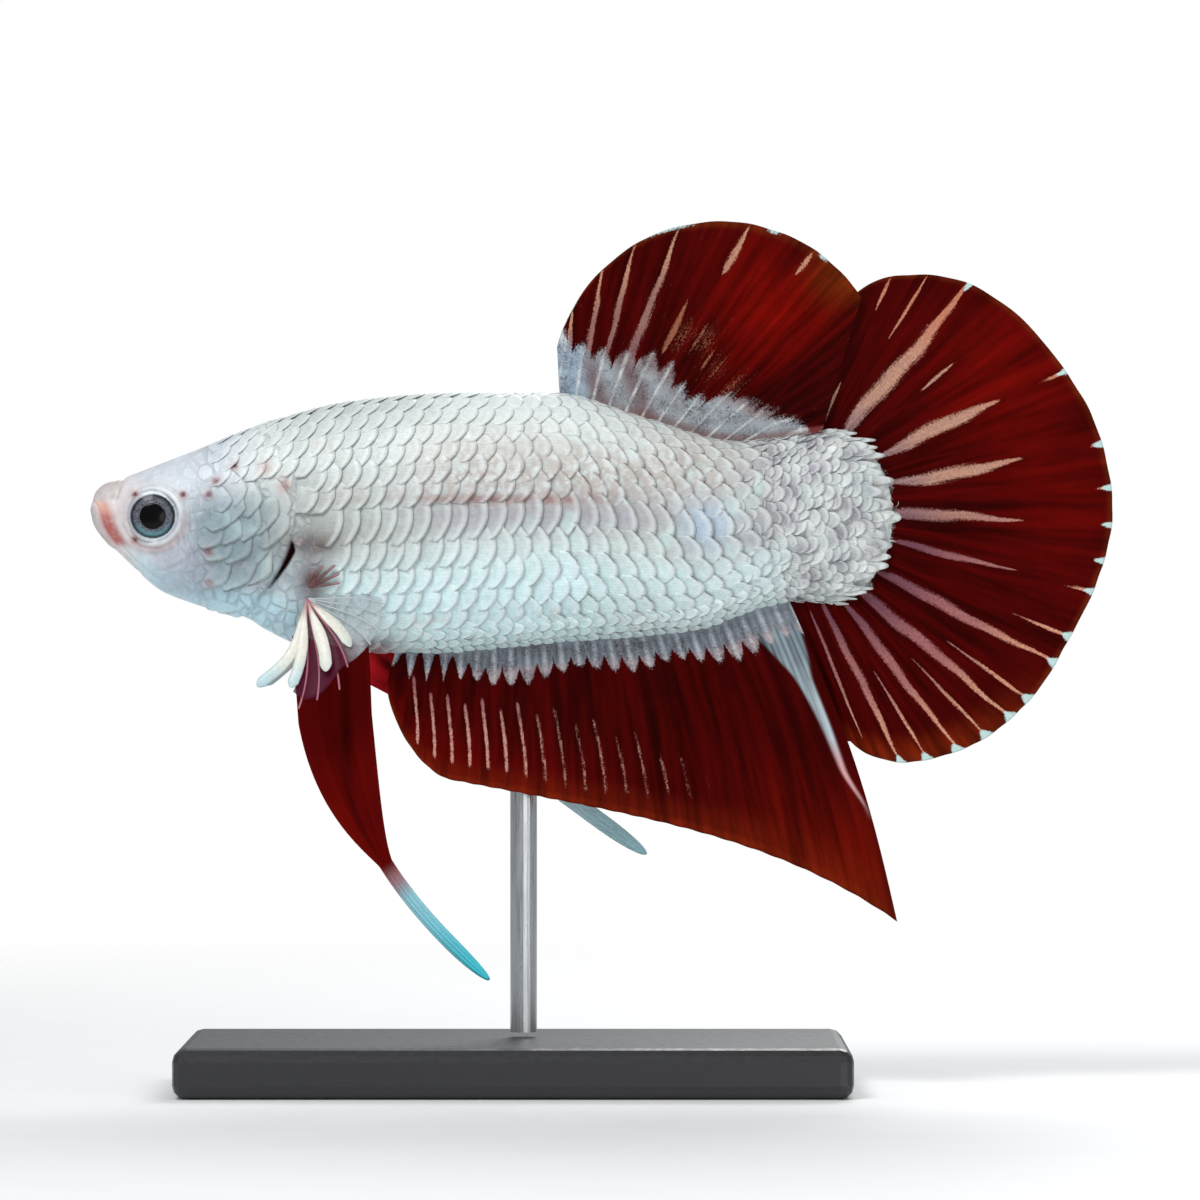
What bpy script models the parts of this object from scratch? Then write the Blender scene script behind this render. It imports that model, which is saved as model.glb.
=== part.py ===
"""A dragon-scale plakat betta (Betta splendens, male), life size, on a display stand.

The fish faces -X with its left side towards -Y. Along the body, a place is given by its
distance behind the snout and its height above the level of the mouth.
"""
import math

import bmesh
import bpy
from mathutils import Vector

MM = 0.001

# ---- overall ----
TOTAL_LENGTH = 61.5 * MM
MOUTH_HEIGHT = 35.0 * MM
GAP = 0.3 * MM
FIN_THICKNESS = 0.5 * MM
CLEAR_SIDE = 9.0 * MM
CLEAR_HEIGHT = 12.0 * MM
CLEAR_LENGTH = 54.0 * MM

# ---- body: knots of smooth curves, (distance behind the snout, value), in mm ----
BACK = [(1.5, 1.45), (5.5, 3.0), (11.0, 5.1), (16.0, 6.3), (22.0, 6.75), (28.0, 6.7),
        (33.0, 5.3), (39.0, 3.8), (44.4, 4.45)]
BELLY = [(1.5, -2.7), (4.5, -5.3), (9.0, -6.8), (13.5, -8.7), (19.0, -8.8), (28.0, -8.1),
         (36.0, -7.4), (42.0, -5.7), (44.4, -5.85)]
HALF_WIDTH = [(1.5, 1.35), (4.0, 2.6), (8.0, 3.4), (13.0, 3.95), (20.0, 4.1), (28.0, 3.8),
              (36.0, 2.8), (42.0, 1.8), (48.3, 0.9)]
NOSE_LENGTH = 1.5 * MM
NOSE_DROP = -0.3 * MM
STEM_END = 44.4 * MM
STEM_ROUND = 3.9 * MM
BODY_LENGTH = STEM_END + STEM_ROUND
EGG_SHAPE = 0.12
BODY_SIDES = 28
BODY_RINGS = 44

# ---- where the body is parted ----
GILL_CENTRE = (3.4 * MM, 0.5 * MM)
GILL_RADIUS = 9.15 * MM
CHEEK_RADIUS = 4.4 * MM
GILL_COVER_TOP = 1.8 * MM
GILL_COVER_DEPTH = 2.2 * MM
STEM_START = 40.0 * MM
JAW_ANGLE = math.radians(57.0)
JAW_OFFSET = 0.25 * MM

# ---- eyes ----
EYE_PLACE = (3.9 * MM, -0.7 * MM)
EYE_RADIUS = 1.55 * MM
EYE_HALF_DEPTH = 1.0 * MM
EYE_SIDE = 1.85 * MM

# ---- dorsal fin: a round fan on the rear half of the back ----
DORSAL_BASE = (28.2 * MM, 43.1 * MM)
DORSAL_CENTRE = (37.8 * MM, 6.9 * MM)
DORSAL_RADIUS = 10.1 * MM
DORSAL_ANGLES = (165.0, 35.0)
DORSAL_SPREAD = 0.75
DORSAL_SWAY = 0.5 * MM
DORSAL_REAR_LEAN = 0.3 * MM

# ---- caudal fin: a half-moon behind the tail stem ----
CAUDAL_CENTRE = (46.5 * MM, -0.9 * MM)
CAUDAL_RADIUS = 15.0 * MM
CAUDAL_ANGLES = (90.0, -93.0)
CAUDAL_ROOT_ANGLES = (99.0, -116.0)
CAUDAL_FLAT_ANGLE = -30.0
CAUDAL_FLAT_SPAN = 22.0
CAUDAL_FLAT_DEPTH = 0.055
CAUDAL_CORNER_DEPTH = 0.07
CAUDAL_SWAY = 0.9 * MM
CAUDAL_WAVES = 1.1
CAUDAL_LOWER_LEAN = 1.0 * MM

# ---- anal fin: a long skirt drawn out to a point behind ----
ANAL_BASE = (18.4 * MM, 41.8 * MM)
ANAL_TIP = 48.4 * MM
ANAL_FRONT = 17.8 * MM
ANAL_CORNER = (21.8 * MM, -10.7 * MM)
ANAL_CORNER_DROP = 5.8 * MM
ANAL_CORNER_POWER = 1.6
ANAL_SLOPE = 0.19
ANAL_POINT_DROP = 3.4 * MM
ANAL_RAY_BOW = 0.7 * MM
ANAL_SWAY = 0.45 * MM
ANAL_WAVES = 1.25
ANAL_REAR_LEAN = 0.6 * MM

# ---- pelvic fins: a leaf that runs out into a filament ----
PELVIC_ROUTE = {"left": [(14.4, -9.2), (14.9, -17.7), (17.2, -22.3), (24.0, -28.3)],
                "right": [(15.0, -9.3), (19.5, -11.4), (26.0, -16.6), (33.4, -21.1)]}
PELVIC_LEAF_WIDTH = {"left": 3.4 * MM, "right": 2.2 * MM}
PELVIC_FILAMENT_WIDTH = 0.9 * MM
PELVIC_LEAF_MIDDLE = 0.20
PELVIC_LEAF_REACH = 0.38
PELVIC_ROOT_SIDE = 1.1 * MM
PELVIC_ROOT_SHARE = 0.15
PELVIC_SPLAY = {"left": 3.0 * MM, "right": 5.0 * MM}

# ---- pectoral fins: a small fan low behind the gill cover ----
PECTORAL_ROOT = (13.0 * MM, -5.2 * MM)
PECTORAL_ROOT_HEIGHT = 1.9 * MM
PECTORAL_ANGLES = (-114.0, -12.0)
PECTORAL_RADII = (7.0 * MM, 4.8 * MM)
PECTORAL_SIDE = 3.85 * MM
PECTORAL_FLARE = 2.4 * MM

# ---- stand ----
BASE_SIZE = (40.0 * MM, 24.0 * MM, 3.0 * MM)
BASE_BEVEL = 0.8 * MM
BASE_PLACE = 25.5 * MM
ROD_PLACE = (26.0 * MM, 1.7 * MM)
ROD_RADIUS = 0.8 * MM
ROD_TOP = -5.8 * MM


def smooth_curve(knots, s):
    """The value at s metres on a smooth curve through knots in mm, with no overshoot."""
    place = min(max(s / MM, knots[0][0]), knots[-1][0])
    slopes = [(b[1] - a[1]) / (b[0] - a[0]) for a, b in zip(knots, knots[1:])]
    tangents = [slopes[0]]
    for before, after in zip(slopes, slopes[1:]):
        same_way = before * after > 0
        tangents.append(2 * before * after / (before + after) if same_way else 0.0)
    tangents.append(slopes[-1])
    index = 0
    while index < len(slopes) - 1 and place > knots[index + 1][0]:
        index += 1
    (x0, y0), (x1, y1) = knots[index], knots[index + 1]
    step = x1 - x0
    t = (place - x0) / step
    value = (y0 * (1 + 2 * t) * (1 - t) ** 2 + step * tangents[index] * t * (1 - t) ** 2
             + y1 * t * t * (3 - 2 * t) + step * tangents[index + 1] * t * t * (t - 1))
    return value * MM


def section(s):
    """Middle height, half height and half width of the body's section at s."""
    nose = min(1.0, s / NOSE_LENGTH)
    tail = max(0.0, (s - STEM_END) / STEM_ROUND)
    snout = math.sqrt(max(0.0, 1 - (1 - nose) ** 2))
    stem = math.sqrt(max(0.0, 1 - tail * tail))
    top = mix(NOSE_DROP, smooth_curve(BACK, s), snout)
    bottom = mix(NOSE_DROP, smooth_curve(BELLY, s), math.sqrt(max(0.0, nose)))
    half_width = smooth_curve(HALF_WIDTH, s) * snout * stem
    return (top + bottom) / 2, (top - bottom) / 2 * stem, half_width


def world(s, side, height):
    """A point from its distance behind the snout, sideways place and height over the mouth."""
    return Vector((s - TOTAL_LENGTH / 2, side, height + MOUTH_HEIGHT))


def polar(centre, radius, degrees):
    angle = math.radians(degrees)
    return centre[0] + radius * math.cos(angle), centre[1] + radius * math.sin(angle)


def mix(a, b, t):
    return a + (b - a) * t


def make_material(name, colour, roughness, metallic=0.0):
    material = bpy.data.materials.new(name)
    material.use_nodes = True
    shader = material.node_tree.nodes["Principled BSDF"]
    shader.inputs["Base Color"].default_value = (*colour, 1.0)
    shader.inputs["Roughness"].default_value = roughness
    shader.inputs["Metallic"].default_value = metallic
    return material


def add_object(name, bm, collection, material=None):
    mesh = bpy.data.meshes.new(name)
    bm.to_mesh(mesh)
    bm.free()
    mesh.shade_smooth()
    mesh.set_sharp_from_angle(angle=math.radians(40))
    obj = bpy.data.objects.new(name, mesh)
    collection.objects.link(obj)
    if material:
        mesh.materials.append(material)
    else:
        obj.hide_render = True
        obj.display_type = "WIRE"
    return obj


def add_boolean(obj, operation, cutter, solver="EXACT"):
    modifier = obj.modifiers.new(f"{operation.lower()}_{cutter.name}", "BOOLEAN")
    modifier.operation = operation
    modifier.solver = solver
    modifier.object = cutter


def body_form():
    """The whole body from snout to tail end, as a ball drawn out along X."""
    bm = bmesh.new()
    bmesh.ops.create_uvsphere(bm, u_segments=BODY_SIDES, v_segments=BODY_RINGS, radius=1.0)
    for vert in bm.verts:
        s = BODY_LENGTH * (1 - vert.co.z) / 2
        angle = math.atan2(vert.co.y, vert.co.x)
        middle, half_height, half_width = section(s)
        side = half_width * math.cos(angle) * (1 + EGG_SHAPE * math.sin(angle))
        vert.co = world(s, -side, middle + half_height * math.sin(angle))
    return bm


def cross_cylinder(name, radius, cutters):
    """A cylinder across the head, round the centre of the gill arc."""
    bm = bmesh.new()
    bmesh.ops.create_cone(bm, cap_ends=True, segments=72, radius1=radius, radius2=radius,
                          depth=2 * CLEAR_SIDE)
    for vert in bm.verts:
        vert.co = world(GILL_CENTRE[0] + vert.co.x, -vert.co.z, GILL_CENTRE[1] + vert.co.y)
    return add_object(name, bm, cutters)


def block(name, low, high, cutters):
    """A box between two corners, each (distance behind the snout, side, height)."""
    bm = bmesh.new()
    bmesh.ops.create_cube(bm, size=1.0)
    for vert in bm.verts:
        corner = [mix(a, b, c + 0.5) for a, b, c in zip(low, high, vert.co)]
        vert.co = world(*corner)
    return add_object(name, bm, cutters)


def gill_block(name, way, grow, cutters):
    """The space of one gill cover: a side slab of the head behind the cheek."""
    inner = way * (GILL_COVER_DEPTH - grow)
    outer = way * CLEAR_SIDE
    low = (GILL_CENTRE[0], min(inner, outer), -CLEAR_HEIGHT)
    high = (GILL_CENTRE[0] + CLEAR_HEIGHT, max(inner, outer), GILL_COVER_TOP + grow)
    obj = block(name, low, high, cutters)
    add_boolean(obj, "DIFFERENCE", cross_cylinder(f"{name}_cheek", CHEEK_RADIUS - grow, cutters))
    return obj


def jaw_block(name, grow, cutters):
    """The space in front of the mouth's slanting line, where the lower jaw is."""
    bm = bmesh.new()
    size = CLEAR_HEIGHT
    bmesh.ops.create_cube(bm, size=size)
    for vert in bm.verts:
        along = vert.co.x
        out = vert.co.z - size / 2 + grow
        s = along * math.cos(JAW_ANGLE) + out * math.sin(JAW_ANGLE)
        height = -along * math.sin(JAW_ANGLE) + out * math.cos(JAW_ANGLE)
        vert.co = world(s, vert.co.y, height + JAW_OFFSET)
    return add_object(name, bm, cutters)


def eye_form(way, grow):
    bm = bmesh.new()
    bmesh.ops.create_uvsphere(bm, u_segments=20, v_segments=12, radius=1.0)
    for vert in bm.verts:
        reach = vert.co * (EYE_RADIUS + grow)
        side = way * EYE_SIDE - vert.co.z * (EYE_HALF_DEPTH + grow)
        vert.co = world(EYE_PLACE[0] + reach.x, side, EYE_PLACE[1] + reach.y)
    return bm


def rod_form(radius, top):
    """An upright round bar from the stand's base up to the given height over the mouth."""
    bottom = BASE_SIZE[2] + GAP - MOUTH_HEIGHT
    bm = bmesh.new()
    bmesh.ops.create_cone(bm, cap_ends=True, segments=24, radius1=radius, radius2=radius,
                          depth=top - bottom)
    for vert in bm.verts:
        height = vert.co.z + (top + bottom) / 2
        vert.co = world(ROD_PLACE[0] + vert.co.x, ROD_PLACE[1] + vert.co.y, height)
    return bm


def build_body(parts, cutters):
    """Head, lower jaw, gill covers, trunk and tail stem, parted by thin cuts."""
    pearl = (0.72, 0.78, 0.78)
    head_space = cross_cylinder("head_space", GILL_RADIUS, cutters)
    trunk_front = cross_cylinder("trunk_front", GILL_RADIUS + GAP, cutters)
    jaw_space = jaw_block("jaw_space", 0.0, cutters)
    jaw_cut = jaw_block("jaw_cut", GAP, cutters)
    far_corner = (CLEAR_LENGTH, CLEAR_SIDE, CLEAR_HEIGHT)
    stem_corner = (STEM_START + GAP, -CLEAR_SIDE, -CLEAR_HEIGHT)
    rear_corner = (STEM_START, -CLEAR_SIDE, -CLEAR_HEIGHT)
    stem_space = block("stem_space", stem_corner, far_corner, cutters)
    trunk_rear = block("trunk_rear", rear_corner, far_corner, cutters)
    rod_socket = add_object("rod_socket", rod_form(ROD_RADIUS + GAP, ROD_TOP + GAP), cutters)

    head = add_object("head", body_form(), parts, make_material("head_pearl", pearl, 0.35))
    add_boolean(head, "INTERSECT", head_space)
    add_boolean(head, "DIFFERENCE", jaw_cut)
    jaw_material = make_material("jaw_red", (0.55, 0.12, 0.09), 0.4)
    jaw = add_object("lower_jaw", body_form(), parts, jaw_material)
    add_boolean(jaw, "INTERSECT", jaw_space)
    for side, way in (("left", -1), ("right", 1)):
        socket = add_object(f"socket_{side}", eye_form(way, GAP), cutters)
        add_boolean(head, "DIFFERENCE", socket)
        gill_cut = gill_block(f"gill_cut_{side}", way, GAP, cutters)
        add_boolean(head, "DIFFERENCE", gill_cut, "MANIFOLD")
        cover_material = make_material(f"gill_cover_pearl_{side}", pearl, 0.35)
        cover = add_object(f"gill_cover_{side}", body_form(), parts, cover_material)
        add_boolean(cover, "INTERSECT", head_space)
        add_boolean(cover, "INTERSECT", gill_block(f"gill_space_{side}", way, 0.0, cutters))
        eye_material = make_material(f"eye_dark_{side}", (0.02, 0.02, 0.03), 0.1)
        add_object(f"eye_{side}", eye_form(way, 0.0), parts, eye_material)

    trunk = add_object("trunk", body_form(), parts, make_material("trunk_scales", pearl, 0.4))
    add_boolean(trunk, "DIFFERENCE", trunk_front)
    add_boolean(trunk, "DIFFERENCE", trunk_rear)
    add_boolean(trunk, "DIFFERENCE", rod_socket, "MANIFOLD")
    stem = add_object("tail_stem", body_form(), parts, make_material("stem_scales", pearl, 0.4))
    add_boolean(stem, "INTERSECT", stem_space)


def add_fin(name, across, along, place, parts, colour):
    """A fin as a sheet: place(u, v) gives the point u of the way across, v from root to edge."""
    bm = bmesh.new()
    bmesh.ops.create_grid(bm, x_segments=across, y_segments=along, size=0.5)
    for vert in bm.verts:
        vert.co = place(vert.co.x + 0.5, vert.co.y + 0.5)
    material = make_material(f"{name}_membrane", colour, 0.45)
    obj = add_object(name, bm, parts, material)
    solid = obj.modifiers.new("thickness", "SOLIDIFY")
    solid.thickness = FIN_THICKNESS
    solid.offset = 0.0
    solid.use_even_offset = True
    return obj


def dorsal_place(u, v):
    s = mix(*DORSAL_BASE, u)
    height = smooth_curve(BACK, s) + GAP
    angle = mix(*DORSAL_ANGLES, u ** DORSAL_SPREAD)
    tip_s, tip_height = polar(DORSAL_CENTRE, DORSAL_RADIUS, angle)
    sway = -v * (DORSAL_SWAY * math.sin(math.pi * u) + DORSAL_REAR_LEAN * u)
    return world(mix(s, tip_s, v), sway, mix(height, tip_height, v))


def caudal_radius(degrees):
    """The fan's radius, a little less low behind and at its two corners."""
    flat = math.exp(-((degrees - CAUDAL_FLAT_ANGLE) / CAUDAL_FLAT_SPAN) ** 2)
    corner = abs(degrees / CAUDAL_ANGLES[0]) ** 12
    loss = CAUDAL_FLAT_DEPTH * flat + CAUDAL_CORNER_DEPTH * min(1.0, corner)
    return CAUDAL_RADIUS * (1 - loss)


def caudal_root(degrees):
    """A place round the tail stem's end; past a right angle it runs forward along the stem."""
    s, rise = polar((STEM_END, 0.0), STEM_ROUND + GAP, degrees)
    if abs(degrees) > 90:
        return s, smooth_curve(BACK, s) + GAP if rise > 0 else smooth_curve(BELLY, s) - GAP
    middle, half_height, _ = section(STEM_END)
    return s, middle + (half_height + GAP) * math.sin(math.radians(degrees))


def caudal_place(u, v):
    s, height = caudal_root(mix(*CAUDAL_ROOT_ANGLES, u))
    degrees = mix(*CAUDAL_ANGLES, u)
    tip_s, tip_height = polar(CAUDAL_CENTRE, caudal_radius(degrees), degrees)
    wave = math.sin(2 * math.pi * CAUDAL_WAVES * u - 0.6) * (0.4 + 0.6 * u)
    sway = v * (CAUDAL_SWAY * wave + CAUDAL_LOWER_LEAN * u ** 6)
    return world(mix(s, tip_s, v), sway, mix(height, tip_height, v))


def anal_margin(s):
    """Height of the skirt's lower edge: a round front corner, then a slope to the point."""
    reach = ANAL_CORNER[0] - ANAL_FRONT
    if s < ANAL_CORNER[0]:
        part = min(1.0, (ANAL_CORNER[0] - s) / reach)
        drop = (1 - part ** ANAL_CORNER_POWER) ** (1 / ANAL_CORNER_POWER)
        return ANAL_CORNER[1] - ANAL_CORNER_DROP * drop
    run = s - ANAL_CORNER[0]
    point = (run / (ANAL_TIP - ANAL_CORNER[0])) ** 4
    return ANAL_CORNER[1] - ANAL_CORNER_DROP - ANAL_SLOPE * run - ANAL_POINT_DROP * point


def anal_place(u, v):
    s = mix(*ANAL_BASE, u)
    height = smooth_curve(BELLY, s) - GAP
    lean = mix(ANAL_FRONT - ANAL_BASE[0], ANAL_TIP - ANAL_BASE[1], u * u)
    tip_s = s + lean
    bow = ANAL_RAY_BOW * u * u * math.sin(math.pi * v)
    sway = -v * (ANAL_SWAY * math.sin(2 * math.pi * ANAL_WAVES * u) + ANAL_REAR_LEAN * u ** 4)
    return world(mix(s, tip_s, v) + bow, sway, mix(height, anal_margin(tip_s), v))


def pelvic_route(side, t):
    """A point, in metres, on the cubic curve down the middle of a pelvic fin."""
    weights = ((1 - t) ** 3, 3 * t * (1 - t) ** 2, 3 * t * t * (1 - t), t ** 3)
    s = sum(w * p[0] for w, p in zip(weights, PELVIC_ROUTE[side]))
    height = sum(w * p[1] for w, p in zip(weights, PELVIC_ROUTE[side]))
    return Vector((s * MM, height * MM))


def pelvic_width(side, t):
    leaf = max(0.0, 1 - ((t - PELVIC_LEAF_MIDDLE) / PELVIC_LEAF_REACH) ** 2)
    taper = 1 - 0.55 * max(0.0, (t - 0.85) / 0.15)
    return (PELVIC_FILAMENT_WIDTH + PELVIC_LEAF_WIDTH[side] * leaf) * taper


def underside(s, side):
    """Height of the body's lower surface at s, off to one side of its middle plane."""
    middle, half_height, half_width = section(s)
    return middle - half_height * math.sqrt(max(0.0, 1 - (side / half_width) ** 2))


def pelvic_place(side, way):
    """The leaf starts along the belly, a gap under it, and leaves it for its own route."""
    def place(u, v):
        step = 0.01
        ahead = pelvic_route(side, min(1.0, v + step)) - pelvic_route(side, max(0.0, v - step))
        ahead.normalize()
        across = Vector((-ahead.y, ahead.x))
        spot = pelvic_route(side, v) + across * pelvic_width(side, v) * (u - 0.5)
        out = PELVIC_ROOT_SIDE + PELVIC_SPLAY[side] * v
        root = underside(spot.x, out) - GAP
        held = max(0.0, 1 - v / PELVIC_ROOT_SHARE)
        return world(spot.x, way * out, mix(spot.y, root, held))

    return place


def pectoral_place(way):
    def place(u, v):
        root_height = PECTORAL_ROOT[1] + PECTORAL_ROOT_HEIGHT * (u - 0.5)
        radius = mix(*PECTORAL_RADII, u)
        tip_s, tip_height = polar(PECTORAL_ROOT, radius, mix(*PECTORAL_ANGLES, u))
        out = PECTORAL_SIDE + PECTORAL_FLARE * v * (1 - 0.3 * v)
        return world(mix(PECTORAL_ROOT[0], tip_s, v), way * out, mix(root_height, tip_height, v))

    return place


def build_fins(parts):
    maroon = (0.20, 0.005, 0.004)
    add_fin("dorsal_fin", 24, 8, dorsal_place, parts, maroon)
    add_fin("caudal_fin", 32, 8, caudal_place, parts, maroon)
    add_fin("anal_fin", 30, 8, anal_place, parts, maroon)
    for side, way in (("left", -1), ("right", 1)):
        add_fin(f"pelvic_fin_{side}", 4, 20, pelvic_place(side, way), parts, maroon)
        add_fin(f"pectoral_fin_{side}", 12, 5, pectoral_place(way), parts, (0.75, 0.68, 0.62))


def build_stand(parts):
    """A flat base and one upright rod that plugs into the fish's underside."""
    bm = bmesh.new()
    bmesh.ops.create_cube(bm, size=1.0)
    for vert in bm.verts:
        length, width, height = (c * size for c, size in zip(vert.co, BASE_SIZE))
        vert.co = world(BASE_PLACE + length, width, height + BASE_SIZE[2] / 2 - MOUTH_HEIGHT)
    base = add_object("stand_base", bm, parts, make_material("stand_black", (0.03,) * 3, 0.35))
    bevel = base.modifiers.new("rounded_edges", "BEVEL")
    bevel.width = BASE_BEVEL
    bevel.segments = 3
    steel = make_material("stand_steel", (0.6, 0.6, 0.6), 0.25, 1.0)
    add_object("stand_rod", rod_form(ROD_RADIUS, ROD_TOP), parts, steel)


def build():
    for obj in list(bpy.data.objects):
        bpy.data.objects.remove(obj)
    parts = bpy.data.collections.new("betta_fish")
    cutters = bpy.data.collections.new("betta_fish_cutters")
    for collection in (parts, cutters):
        bpy.context.scene.collection.children.link(collection)
    build_body(parts, cutters)
    build_fins(parts)
    build_stand(parts)


build()
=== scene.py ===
"""Looks of the betta: one skin, overlapping scales, rayed fins, glossy eyes and a studio.

As in the CAD, a place on the fish is given by its distance behind the snout, its side and its
height above the level of the mouth. All of these are in mm until a mesh is made.
"""
import math

import bpy
import numpy as np
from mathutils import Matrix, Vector


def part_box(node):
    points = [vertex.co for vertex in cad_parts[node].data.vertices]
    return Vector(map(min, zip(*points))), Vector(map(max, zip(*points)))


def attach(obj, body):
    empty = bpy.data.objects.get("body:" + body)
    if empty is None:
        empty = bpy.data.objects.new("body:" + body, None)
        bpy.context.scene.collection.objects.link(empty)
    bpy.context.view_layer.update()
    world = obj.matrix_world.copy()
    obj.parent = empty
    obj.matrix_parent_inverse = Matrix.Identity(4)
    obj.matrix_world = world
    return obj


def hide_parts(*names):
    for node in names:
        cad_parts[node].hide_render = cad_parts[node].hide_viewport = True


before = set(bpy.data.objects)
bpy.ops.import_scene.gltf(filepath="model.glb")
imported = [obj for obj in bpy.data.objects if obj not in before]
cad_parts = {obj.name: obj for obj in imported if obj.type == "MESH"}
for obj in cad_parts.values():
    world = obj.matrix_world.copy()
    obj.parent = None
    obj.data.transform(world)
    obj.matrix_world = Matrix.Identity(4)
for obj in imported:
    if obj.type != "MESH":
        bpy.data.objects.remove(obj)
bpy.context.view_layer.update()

MM = 0.001
# The mouth's level over the stand's underside, as in the CAD.
MOUTH_HEIGHT = 35.0
SNOUT_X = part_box("lower_jaw")[0].x / MM
MOUTH_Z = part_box("stand_base")[0].z / MM + MOUTH_HEIGHT
TAU = 2 * math.pi

# ------------------------------------------------------------------ the CAD body's own form
BACK = [(1.5, 1.45), (5.5, 3.0), (11.0, 5.1), (16.0, 6.3), (22.0, 6.75), (28.0, 6.7),
        (33.0, 5.3), (39.0, 3.8), (44.4, 4.45)]
BELLY = [(1.5, -2.7), (4.5, -5.3), (9.0, -6.8), (13.5, -8.7), (19.0, -8.8), (28.0, -8.1),
         (36.0, -7.4), (42.0, -5.7), (44.4, -5.85)]
HALF_WIDTH = [(1.5, 1.35), (4.0, 2.6), (8.0, 3.4), (13.0, 3.95), (20.0, 4.1), (28.0, 3.8),
              (36.0, 2.8), (42.0, 1.8), (48.3, 0.9)]
NOSE_LENGTH = 1.5
NOSE_DROP = -0.3
STEM_END = 44.4
STEM_ROUND = 3.9
BODY_LENGTH = STEM_END + STEM_ROUND
EGG_SHAPE = 0.12
GILL_CENTRE = (3.4, 0.5)
GILL_RADIUS = 9.15
EYE_PLACE = (3.9, -0.7)
EYE_RADIUS = 1.5
EYE_SIDE = 1.85


# ------------------------------------------------------------------ numbers and shapes
def mix(a, b, t):
    return a + (b - a) * t


def ease(low, high, x):
    """0 below low, 1 above high, and a smooth step between."""
    t = np.clip((x - low) / (high - low), 0.0, 1.0)
    return t * t * (3 - 2 * t)


def bump(x, centre, width):
    """1 at the centre, falling off to about a third at width on both sides."""
    return np.exp(-((x - centre) / width) ** 2)


def smooth_curve(knots, s):
    """The same smooth curve through knots as in the CAD, for an array of places."""
    x, y = (np.array(column, float) for column in zip(*knots))
    slopes = np.diff(y) / np.diff(x)
    product = slopes[:-1] * slopes[1:]
    total = np.where(product > 0, slopes[:-1] + slopes[1:], 1.0)
    inner = np.where(product > 0, 2 * product / total, 0.0)
    tangents = np.concatenate((slopes[:1], inner, slopes[-1:]))
    place = np.clip(s, x[0], x[-1])
    index = np.clip(np.searchsorted(x, place) - 1, 0, len(slopes) - 1)
    step = x[index + 1] - x[index]
    t = (place - x[index]) / step
    return (y[index] * (1 + 2 * t) * (1 - t) ** 2 + step * tangents[index] * t * (1 - t) ** 2
            + y[index + 1] * t * t * (3 - 2 * t) + step * tangents[index + 1] * t * t * (t - 1))


def section(s, open_end=False):
    """Middle height, half height and half width of the body's section at s."""
    nose = np.clip(s / NOSE_LENGTH, 0.0, 1.0)
    tail = np.clip((s - STEM_END) / STEM_ROUND, 0.0, 1.0)
    snout = np.sqrt(1 - (1 - nose) ** 2)
    stem = np.sqrt(1 - tail * tail)
    top = mix(NOSE_DROP, smooth_curve(BACK, s), snout)
    bottom = mix(NOSE_DROP, smooth_curve(BELLY, s), np.sqrt(nose))
    half_height = (top - bottom) / 2 * (1.0 if open_end else stem)
    return (top + bottom) / 2, half_height, smooth_curve(HALF_WIDTH, s) * snout * stem


def round_point(s, angle, open_end=False):
    """A point of the body's outer form: angle 0 is the left flank, a quarter turn the back."""
    middle, half_height, half_width = section(s, open_end)
    side = half_width * np.cos(angle) * (1 + EGG_SHAPE * np.sin(angle))
    return np.stack(np.broadcast_arrays(s, -side, middle + half_height * np.sin(angle)), -1)


def lifted(surface, a, b, lift):
    """Points of surface(a, b), moved by lift along the normal that leads out of the body."""
    step = 0.02
    place = surface(a, b)
    normal = np.cross(surface(a + step, b) - place, surface(a, b + step) - place)
    normal /= np.maximum(np.linalg.norm(normal, axis=-1, keepdims=True), 1e-9)
    outward = np.sign(normal[..., 1:2] * place[..., 1:2] + 0.2 * normal[..., 2:3]
                      * (place[..., 2:3] - section(place[..., 0:1])[0]))
    return place + normal * np.where(outward < 0, -1.0, 1.0) * np.asarray(lift)[..., None]


def angle_at(s, height):
    """The section angle where the left flank has this height."""
    middle, half_height, _ = section(s)
    return np.arcsin(np.clip((height - middle) / np.maximum(half_height, 1e-3), -1.0, 1.0))


def grid_faces(rows, columns, wrap=False, start=0):
    index = start + np.arange(rows * columns).reshape(rows, columns)
    if wrap:
        index = np.concatenate((index, index[:, :1]), 1)
    corners = (index[:-1, :-1], index[1:, :-1], index[1:, 1:], index[:-1, 1:])
    return np.stack(corners, -1).reshape(-1, 4)


def sheet_faces(rows, columns):
    """Faces of a closed sheet: a front grid, a back grid after it, and the rim between."""
    count = rows * columns
    index = np.arange(count).reshape(rows, columns)
    ring = np.concatenate((index[:-1, 0], index[-1, :-1], index[:0:-1, -1], index[0, :0:-1]))
    ahead = np.roll(ring, -1)
    rim = np.stack((ahead, ring, ring + count, ahead + count), -1)
    back = grid_faces(rows, columns, start=count)[:, ::-1]
    return np.concatenate((grid_faces(rows, columns), back, rim))


def grid_normals(points, wrap=False):
    along = np.gradient(points, axis=-3)
    if wrap:
        across = np.roll(points, -1, -2) - np.roll(points, 1, -2)
    else:
        across = np.gradient(points, axis=-2)
    normal = np.cross(along, across)
    return normal / np.maximum(np.linalg.norm(normal, axis=-1, keepdims=True), 1e-9)


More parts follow.
